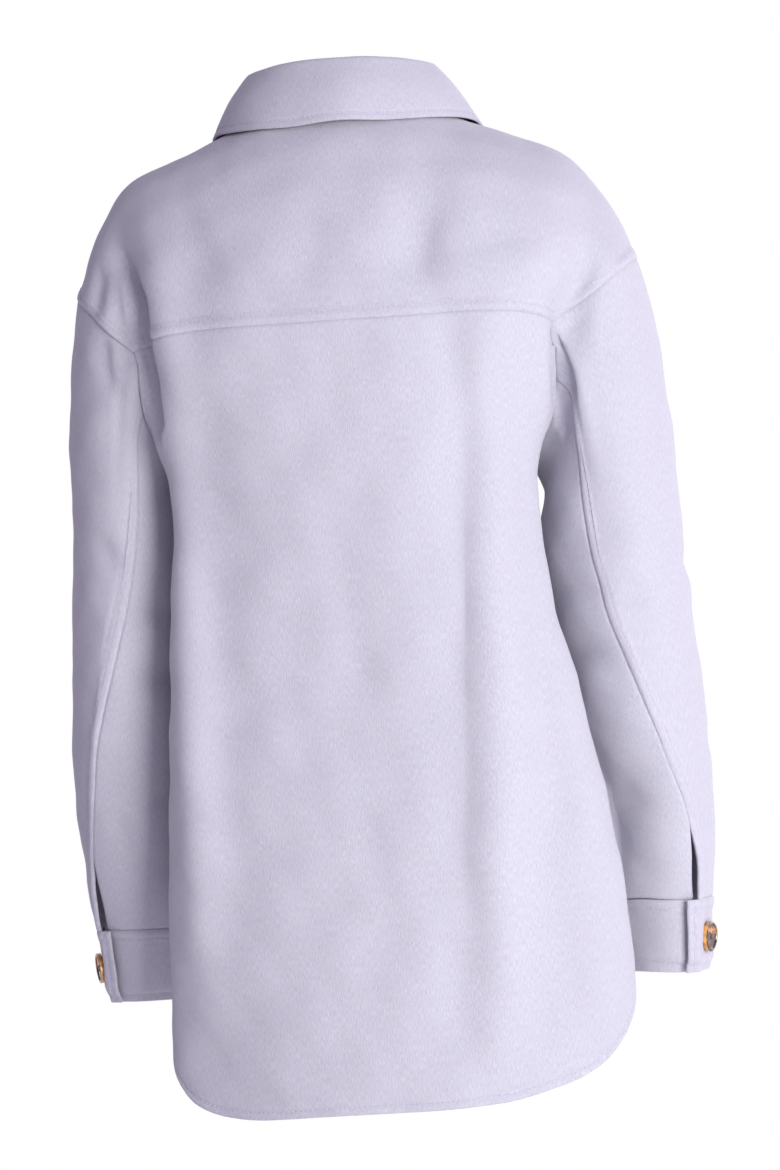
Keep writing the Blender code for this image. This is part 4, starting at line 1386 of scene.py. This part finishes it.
SLEEVE_CREASES = (
    creases(
        View.BEHIND,
        # wrinkles across the arms
        (((0.2050, -0.160), (0.2035, -0.195), (0.1965, -0.232)), (0.0110, 0.0075), 0.0050),
        (((0.2180, -0.330), (0.2100, -0.352), (0.1980, -0.366)), (0.010, 0.008), 0.0026),
        (((0.2260, -0.560), (0.2150, -0.580), (0.2020, -0.590)), (0.009, 0.007), 0.0024),
        (((-0.2050, -0.395), (-0.2150, -0.410), (-0.2300, -0.416)), (0.010, 0.008), 0.0022),
    )
    + CUFF_CREASES
    + creases(
        View.OUTER,
        (((-0.030, -0.300), (0.000, -0.325), (0.030, -0.330)), (0.010, 0.012), 0.0030),
        (((-0.045, -0.480), (-0.020, -0.500), (0.015, -0.505)), (0.010, 0.012), 0.0035),
        (((0.010, -0.560), (-0.020, -0.580), (-0.050, -0.585)), (0.009, 0.011), 0.0030),
    )
    + creases(
        View.INNER,
        (((-0.035, -0.360), (-0.005, -0.385), (0.030, -0.392)), (0.010, 0.012), 0.0030),
        (((0.012, -0.520), (-0.020, -0.540), (-0.050, -0.548)), (0.009, 0.012), 0.0035),
    )
    + creases(
        View.FRONT,
        (((0.200, -0.255), (0.214, -0.275), (0.226, -0.282)), (0.009, 0.011), 0.0030),
        (((0.190, -0.430), (0.206, -0.452), (0.226, -0.460)), (0.009, 0.012), 0.0035),
        (((-0.196, -0.270), (-0.210, -0.290), (-0.228, -0.294)), (0.009, 0.011), 0.0030),
        (((-0.188, -0.470), (-0.206, -0.486), (-0.228, -0.490)), (0.009, 0.012), 0.0035),
    )
)
FRONT_CREASES = creases(
    View.FRONT,
    # hollows beside the armholes, on the chest and down towards the hem
    (((0.172, -0.130), (0.160, -0.165), (0.152, -0.215)), (0.010, 0.006), 0.0060),
    (((-0.176, -0.130), (-0.163, -0.165), (-0.153, -0.215)), (0.006, 0.010), 0.0060),
    (((0.060, -0.150), (0.066, -0.240), (0.058, -0.330)), (0.016, 0.014), 0.0025),
    (((-0.058, -0.140), (-0.070, -0.230), (-0.064, -0.300)), (0.014, 0.016), 0.0025),
    (((0.108, -0.430), (0.100, -0.540), (0.106, -0.640)), (0.014, 0.018), 0.0030),
    (((-0.060, -0.430), (-0.052, -0.560), (-0.060, -0.680)), (0.016, 0.014), 0.0028),
)


@dataclass
class Stitching:
    """Rows of short sewing stitches, all copied from one that is modelled first.

    Attributes:
        thread: The finish of the sewing thread.
        length: Length of one stitch.
        pitch: Distance from one stitch to the next.
        radius: Half the thread's thickness.
        ends: How far a stitch's end is drawn in and out, in shares of that.
        rise: How far its middle lies off the cloth, in shares of that.
        lean: How far stitches turn out of line.
    """

    thread: bpy.types.Material
    length: float = 0.0030
    pitch: float = 0.0041
    radius: float = 0.00030
    ends: tuple[float, float] = (0.45, 0.5)
    rise: float = 0.55
    lean: float = 0.05

    def __post_init__(self) -> None:
        """Model one stitch, which lies along X and has round ends."""
        depth = self.length - self.radius
        turn = (0.0, math.pi / 2, 0.0)
        made = add_cylinder(vertices=6, radius=self.radius, depth=depth, rotation=turn)
        inset, out = (self.radius * share for share in self.ends)
        for end in (-1.0, 1.0):
            shape_face(made, Vector((end, 0.0, 0.0)), ((inset, out),))
        self.points = np.array([vertex.co[:] for vertex in made.data.vertices])
        self.faces = [tuple(face.vertices) for face in made.data.polygons]
        bpy.data.objects.remove(made)

    def along(self, line: Array, normals: Array) -> list[Array]:
        """Set stitches along a line on the cloth.

        Args:
            line: Points of the line.
            normals: The cloth's outward normals there.

        Returns:
            The points of each stitch.
        """
        run = run_along(line[None], 1)[0]
        count = int((run[-1] - 2 * self.pitch) / self.pitch)
        if count < 1:
            return []
        middles = run[-1] / 2 + (np.arange(count) - (count - 1) / 2) * self.pitch
        half = self.length / 2
        reads = ((middles - half, line), (middles + half, line), (middles, line), (middles, normals))
        first, last, here, up = (
            np.stack([np.interp(at, run, values[:, axis]) for axis in range(3)], -1)
            for at, values in reads
        )
        ahead = unit(last - first)
        beside = unit(np.cross(unit(up), ahead))
        up = np.cross(ahead, beside)
        lean = self.lean * np.sin(np.arange(count) * 2.4)[:, None]
        ahead = unit(ahead + beside * lean)
        beside = np.cross(up, ahead)
        here = here + up * self.radius * self.rise
        turn = np.stack([ahead, beside, up], 1)
        return list(self.points @ turn + here[:, None])

    def join(
        self, name: str, stitches: list[Array], thread: bpy.types.Material | None = None
    ) -> bpy.types.Object:
        """Join stitches into one mesh object.

        Args:
            name: Name of the object.
            stitches: The points of each stitch.
            thread: Another thread than the one for seams.

        Returns:
            The object, which moves with the jacket.
        """
        size = len(self.points)
        faces = [
            tuple(corner + number * size for corner in face)
            for number in range(len(stitches))
            for face in self.faces
        ]
        mesh = bpy.data.meshes.new(name)
        mesh.from_pydata(np.concatenate(stitches).tolist(), [], faces)
        mesh.shade_smooth()
        mesh.materials.append(thread or self.thread)
        made = add_object(name, mesh)
        belong(made)
        return made

    def sew(self, panel: Panel) -> list[bpy.types.Object]:
        """Sew a panel along each of its stitch lines.

        Args:
            panel: The panel, already built.

        Returns:
            Its stitches as one object, or nothing.
        """
        stitches = []
        for side, edge in zip(Side, panel.edges):
            if not edge.groove:
                continue
            line, normals = panel.line_at(side, edge.groove_at)
            keep = line[:, 2] > edge.above
            if keep.sum() > 3:
                stitches += self.along(line[keep], normals[keep])
        return [self.join(f"{panel.node}_stitches", stitches)] if stitches else []


@dataclass
class Cloth:
    """All the cloth of the jacket."""

    wool: bpy.types.Material
    stitching: Stitching
    trunk: Trunk = field(default_factory=Trunk)

    def _keep(self, panel: Panel) -> None:
        made = panel.build()
        made.data.materials.append(self.wool)
        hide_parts(panel.node)
        belong(made)
        self.stitching.sew(panel)
        log.info("%s: %d x %d points, %.4f m2", made.name, *panel.grid.shape[:2], panel.area)

    def build(self) -> None:
        """Build every panel."""
        sleeves = {"left": Sleeve(self.trunk, 1), "right": Sleeve(self.trunk, -1)}
        seams = {hand: ArmholeSeam(sleeve) for hand, sleeve in sleeves.items()}
        self.build_trunk(seams)
        for hand, sleeve in sleeves.items():
            self.build_sleeve(sleeve, hand, seams[hand])
        self.build_collar(Collar(self.trunk))

    def build_trunk(self, seams: dict[str, ArmholeSeam]) -> None:
        """Build the yoke, the back and the fronts."""
        both = tuple(seams.values())
        self._keep(Panel(
            "yoke", self.trunk.yoke(), (SEAM, BAND, SEAM, SEAM), (0.78, 0.25), 0.123,
            "collar_stand", BACK_CREASES, both, plain=0.0022,
        ))
        self._keep(Panel(
            "back", self.trunk.back(), (SEAM, STITCHED, ARMHOLE, ARMHOLE), (0.58, 0.635), 0.296,
            "yoke", BACK_CREASES, both, plain=0.0027,
        ))
        for hand, side in (("left", 1), ("right", -1)):
            front = self.trunk.front(side)[:, ::side]
            sides = (SEAM, STITCHED)[::side]
            self._keep(Panel(
                f"front_{hand}", front, (SEAM, STITCHED, *sides), (0.30, 0.77), 0.159,
                "yoke", FRONT_CREASES, (seams[hand],),
            ))

    def build_sleeve(self, sleeve: Sleeve, hand: str, seam: ArmholeSeam) -> None:
        """Build one sleeve and its cuff."""
        mirror = np.array([sleeve.side, 1.0, 1.0])
        folds = SLEEVE_CREASES + SHOULDER_CREASES
        for part, sides, flat, area in (
            ("upper", (BAND, SEAM), (0.335, 0.53), 0.104),
            ("under", (SEAM, SEAM), (0.216, 0.446), 0.066),
        ):
            dense = (sleeve.panel(part == "upper") * mirror)[:, :: sleeve.side]
            self._keep(Panel(
                f"sleeve_{part}_{hand}", dense, (SEAM, SEAM, *sides[:: sleeve.side]), flat, area,
                "yoke", folds, (seam,), plain=0.0036,
            ))
        dense = (sleeve.cuff() * mirror)[:, :: sleeve.side]
        self._keep(Panel(
            f"cuff_{hand}", dense, (BAND, STITCHED, STITCHED, STITCHED), (0.34, 0.061), 0.0203,
            f"sleeve_upper_{hand}", CUFF_CREASES,
        ))

    def build_collar(self, collar: Collar) -> None:
        """Build the collar stand and fall."""
        self._keep(Panel(
            "collar_stand", collar.stand(), (SEAM, SEAM, ROUNDED, ROUNDED), (0.49, 0.031), 0.0121,
            "yoke", fade=0.4,
        ))
        self._keep(Panel(
            "collar_fall", collar.fall(), (SEAM, STITCHED, STITCHED, STITCHED), (0.69, 0.133),
            0.0497, "collar_stand", fade=0.6,
        ))


@dataclass
class Buttons:
    """The buttons: round, with a raised rim, a dished face and four holes with thread.

    Attributes:
        shell: Their finish.
        thread: The finish of the thread that ties them on.
        stitching: Gives the shape of the thread.
        radius: Half a button's width.
        thick: Its thickness.
        rim: Width of its rim.
        dish: How deep its face lies below the rim.
        hole: Half the width of a hole.
        spread: Distance from the middle to a hole, along each axis.
        turned: How far buttons are turned from upright, in radians.
        wrist: Middle of the left cuff, seen from above.
        strand: Half the distance between two strands of thread.
        strand_length: Length of a strand, in stitches.
        strand_rise: How far the strands lie off the button's face.
    """

    shell: bpy.types.Material
    thread: bpy.types.Material
    stitching: Stitching
    radius: float = 0.0125
    thick: float = 0.0034
    rim: float = 0.0022
    dish: float = 0.0009
    hole: float = 0.00095
    spread: float = 0.0021
    turned: float = 0.12
    wrist: tuple[float, float] = (0.2045, -0.030)
    strand: float = 0.00035
    strand_length: float = 2.2
    strand_rise: float = 0.0004

    def model(self) -> bpy.types.Object:
        """Model one button at the origin, its face towards +Z."""
        middle = (0, 0, self.thick / 2)
        made = add_cylinder(vertices=64, radius=self.radius, depth=self.thick, location=middle)
        up = Vector((0.0, 0.0, 1.0))
        shape_face(made, up, ((0.0005, 0.0003), (self.rim * 0.55, 0.0001), (0.0006, -self.dish)))
        shape_face(made, -up, ((0.0010, 0.0003), (0.0030, 0.0003)))
        for x in (-self.spread, self.spread):
            for y in (-self.spread, self.spread):
                self._drill(made, x, y)
        bpy.ops.object.shade_smooth_by_angle(angle=math.radians(50))
        return made

    def _drill(self, made: bpy.types.Object, x: float, y: float) -> None:
        """Drill one hole."""
        place = (x, y, 0.0)
        drill = add_cylinder(vertices=16, radius=self.hole, depth=self.thick * 3, location=place)
        bpy.context.view_layer.objects.active = made
        cut = made.modifiers.new("hole", "BOOLEAN")
        cut.operation = "DIFFERENCE"
        cut.object = drill
        bpy.ops.object.modifier_apply(modifier=cut.name)
        bpy.data.objects.remove(drill)
        made.select_set(True)

    def _place(self, node: bpy.types.Object) -> Matrix:
        """Read where a button of the solids lies and turn the model to it."""
        points = np.array([vertex.co[:] for vertex in node.data.vertices])
        low, high = points.min(0), points.max(0)
        centre = (low + high) / 2
        spread = points - points.mean(0)
        face = np.linalg.eigh(spread.T @ spread)[1][:, 0]
        x, y = self.wrist
        middle = np.array([np.sign(centre[0]) * x, y, centre[2]])
        if abs(centre[0]) < x / 2:
            middle = np.array([0.0, 0.0, centre[2]])
        if face @ (centre - middle) < 0:
            face = -face
        across = unit(np.cross(np.array([0.0, 0.0, 1.0]), face))
        up = np.cross(face, across)
        foot = centre - face * self.thick / 2
        return Matrix([[*row, at] for row, at in zip(np.stack([across, up, face], 1), foot)]).to_4x4()

    def build(self) -> None:
        """Build every button with its thread."""
        model = self.model()
        for number, (name, node) in enumerate(sorted(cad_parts.items())):
            if not name.startswith("button"):
                continue
            place = self._place(node) @ Matrix.Rotation(self.turned * math.sin(number * 2.1), 4, "Z")
            mesh = model.data.copy()
            # the map's second axis runs up the button, for the shell's painted light from above
            drawn = mesh.uv_layers.new(name="button")
            corners = [mesh.vertices[loop.vertex_index].co for loop in mesh.loops]
            flat = [value / self.radius for corner in corners for value in corner.xy]
            drawn.data.foreach_set("uv", flat)
            mesh.transform(place)
            mesh.materials.clear()
            mesh.materials.append(self.shell)
            made = add_object(f"{name}_shell", mesh)
            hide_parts(name)
            belong(made)
            self._tie(name, place)
            log.info("%s: %d faces", made.name, len(mesh.polygons))
        bpy.data.objects.remove(model)

    def _tie(self, name: str, place: Matrix) -> None:
        """Lay the thread that ties a button on, from hole to hole across its middle."""
        turn = np.array(place.to_3x3())
        foot = np.array(place.translation)
        height = self.thick + self.strand_rise - self.dish
        stitches = []
        for angle in (45.0, 135.0):
            for off in (-self.strand, self.strand):
                way = np.array([math.cos(math.radians(angle)), math.sin(math.radians(angle)), 0])
                beside = np.array([-way[1], way[0], 0.0])
                shape = np.stack([way, beside, [0.0, 0.0, 1.0]], 1)
                points = self.stitching.points * np.array([self.strand_length, 1.0, 1.0])
                here = points @ shape.T + beside * off + np.array([0.0, 0.0, height])
                stitches.append(here @ turn.T + foot)
        self.stitching.join(f"{name}_thread", stitches, self.thread)


@dataclass
class Studio:
    """Plain pale floor, soft studio light and the camera at the photograph's angle.

    room gives the room's plain level, how much it falls to one side, and how little of that it
    does higher up.
    """

    floor_z: float = -1.45
    floor_radius: float = 3.6
    target: tuple[float, float, float] = (-0.009, 0.0, -0.390)
    distance: float = 3.6
    azimuth: float = 187.0
    roll: float = -3.6
    lens: float = 135.0
    lamp_colour: tuple[float, float, float] = (0.985, 1.0, 0.94)
    room_colour: Colour = (1.0, 0.905, 1.14, 1.0)
    room: tuple[float, float, float] = (0.55, 0.25, 0.16)

    def floor(self) -> None:
        """Add the floor."""
        bpy.ops.object.select_all(action="DESELECT")
        bpy.ops.mesh.primitive_circle_add(
            vertices=96, radius=self.floor_radius, fill_type="NGON", location=(0, 0, self.floor_z)
        )
        made = bpy.context.object
        bpy.ops.object.transform_apply(location=True, rotation=True, scale=True)
        made.name = "floor"
        made.data.materials.append(FloorFinish().make())

    def lamp(
        self, name: str, place: tuple[float, float, float], size: float, power: float
    ) -> None:
        """Add a soft square light that faces the jacket.

        Args:
            name: Name of the light.
            place: Where it stands.
            size: Its width.
            power: Its power in watts.
        """
        data = bpy.data.lights.new(name, "AREA")
        data.size = size
        data.energy = power
        data.color = self.lamp_colour
        made = add_object(name, data)
        made.location = place
        way = Vector(self.target) - Vector(place)
        made.rotation_mode = "QUATERNION"
        made.rotation_quaternion = way.to_track_quat("-Z", "Y")

    def light(self) -> None:
        """Light the room and the jacket."""
        world = bpy.data.worlds.new("room")
        world.use_nodes = True
        tree = Shader.of(world.node_tree)
        way = tree.node("ShaderNodeTexCoord", out="Generated")
        parts = tree.node("ShaderNodeSeparateXYZ", {}, {0: way})
        beside, behind, high = parts, parts.beside("Y"), parts.beside("Z")
        plain, fall, less = self.room
        room = plain - beside * (fall - high * less)
        bright = tree.ramp(behind, -0.55, -0.90, 0.0, 1.0)
        level = room + bright * (1.0 - room)
        tint = tree.blend(bright, self.room_colour, (1.0, 1.0, 1.0, 1.0))
        background = world.node_tree.nodes["Background"]
        tree.links.new(tint.socket, background.inputs["Color"])
        tree.links.new(level.socket, background.inputs["Strength"])
        bpy.context.scene.world = world
        self.lamp("key", (-1.90, 2.50, -0.30), 1.6, 115.0)
        self.lamp("side", (2.30, 0.70, 1.50), 1.2, 3.0)
        self.lamp("front", (-1.9, -2.3, 0.2), 2.2, 30.0)

    def camera(self) -> None:
        """Add the camera."""
        turn = math.radians(self.azimuth)
        back = Vector((math.sin(turn), -math.cos(turn), 0.0))
        data = bpy.data.cameras.new("camera")
        data.lens = self.lens
        data.sensor_width = 36.0
        data.sensor_fit = "AUTO"
        data.clip_end = 50.0
        made = add_object("camera", data)
        made.location = Vector(self.target) + back * self.distance
        made.rotation_mode = "QUATERNION"
        tilt = Quaternion((0.0, 0.0, 1.0), math.radians(self.roll))
        made.rotation_quaternion = back.to_track_quat("Z", "Y") @ tilt
        bpy.context.scene.camera = made

    def build(self) -> None:
        """Build the studio."""
        self.floor()
        self.light()
        self.camera()
        bpy.context.scene.view_settings.view_transform = "Standard"


def main() -> None:
    """Build the studio and then every piece of the jacket."""
    logging.basicConfig(level=logging.INFO, format="%(name)s: %(message)s")
    Studio().build()
    wool = WoolFinish().make()
    stitching = Stitching(ThreadFinish().make())
    Cloth(wool, stitching).build()
    brown = ThreadFinish("brown_thread", (0.050, 0.028, 0.018, 1.0), (0.110, 0.065, 0.040, 1.0))
    Buttons(TortoiseshellFinish().make(), brown.make(), stitching).build()


if __name__ == "__main__":
    main()
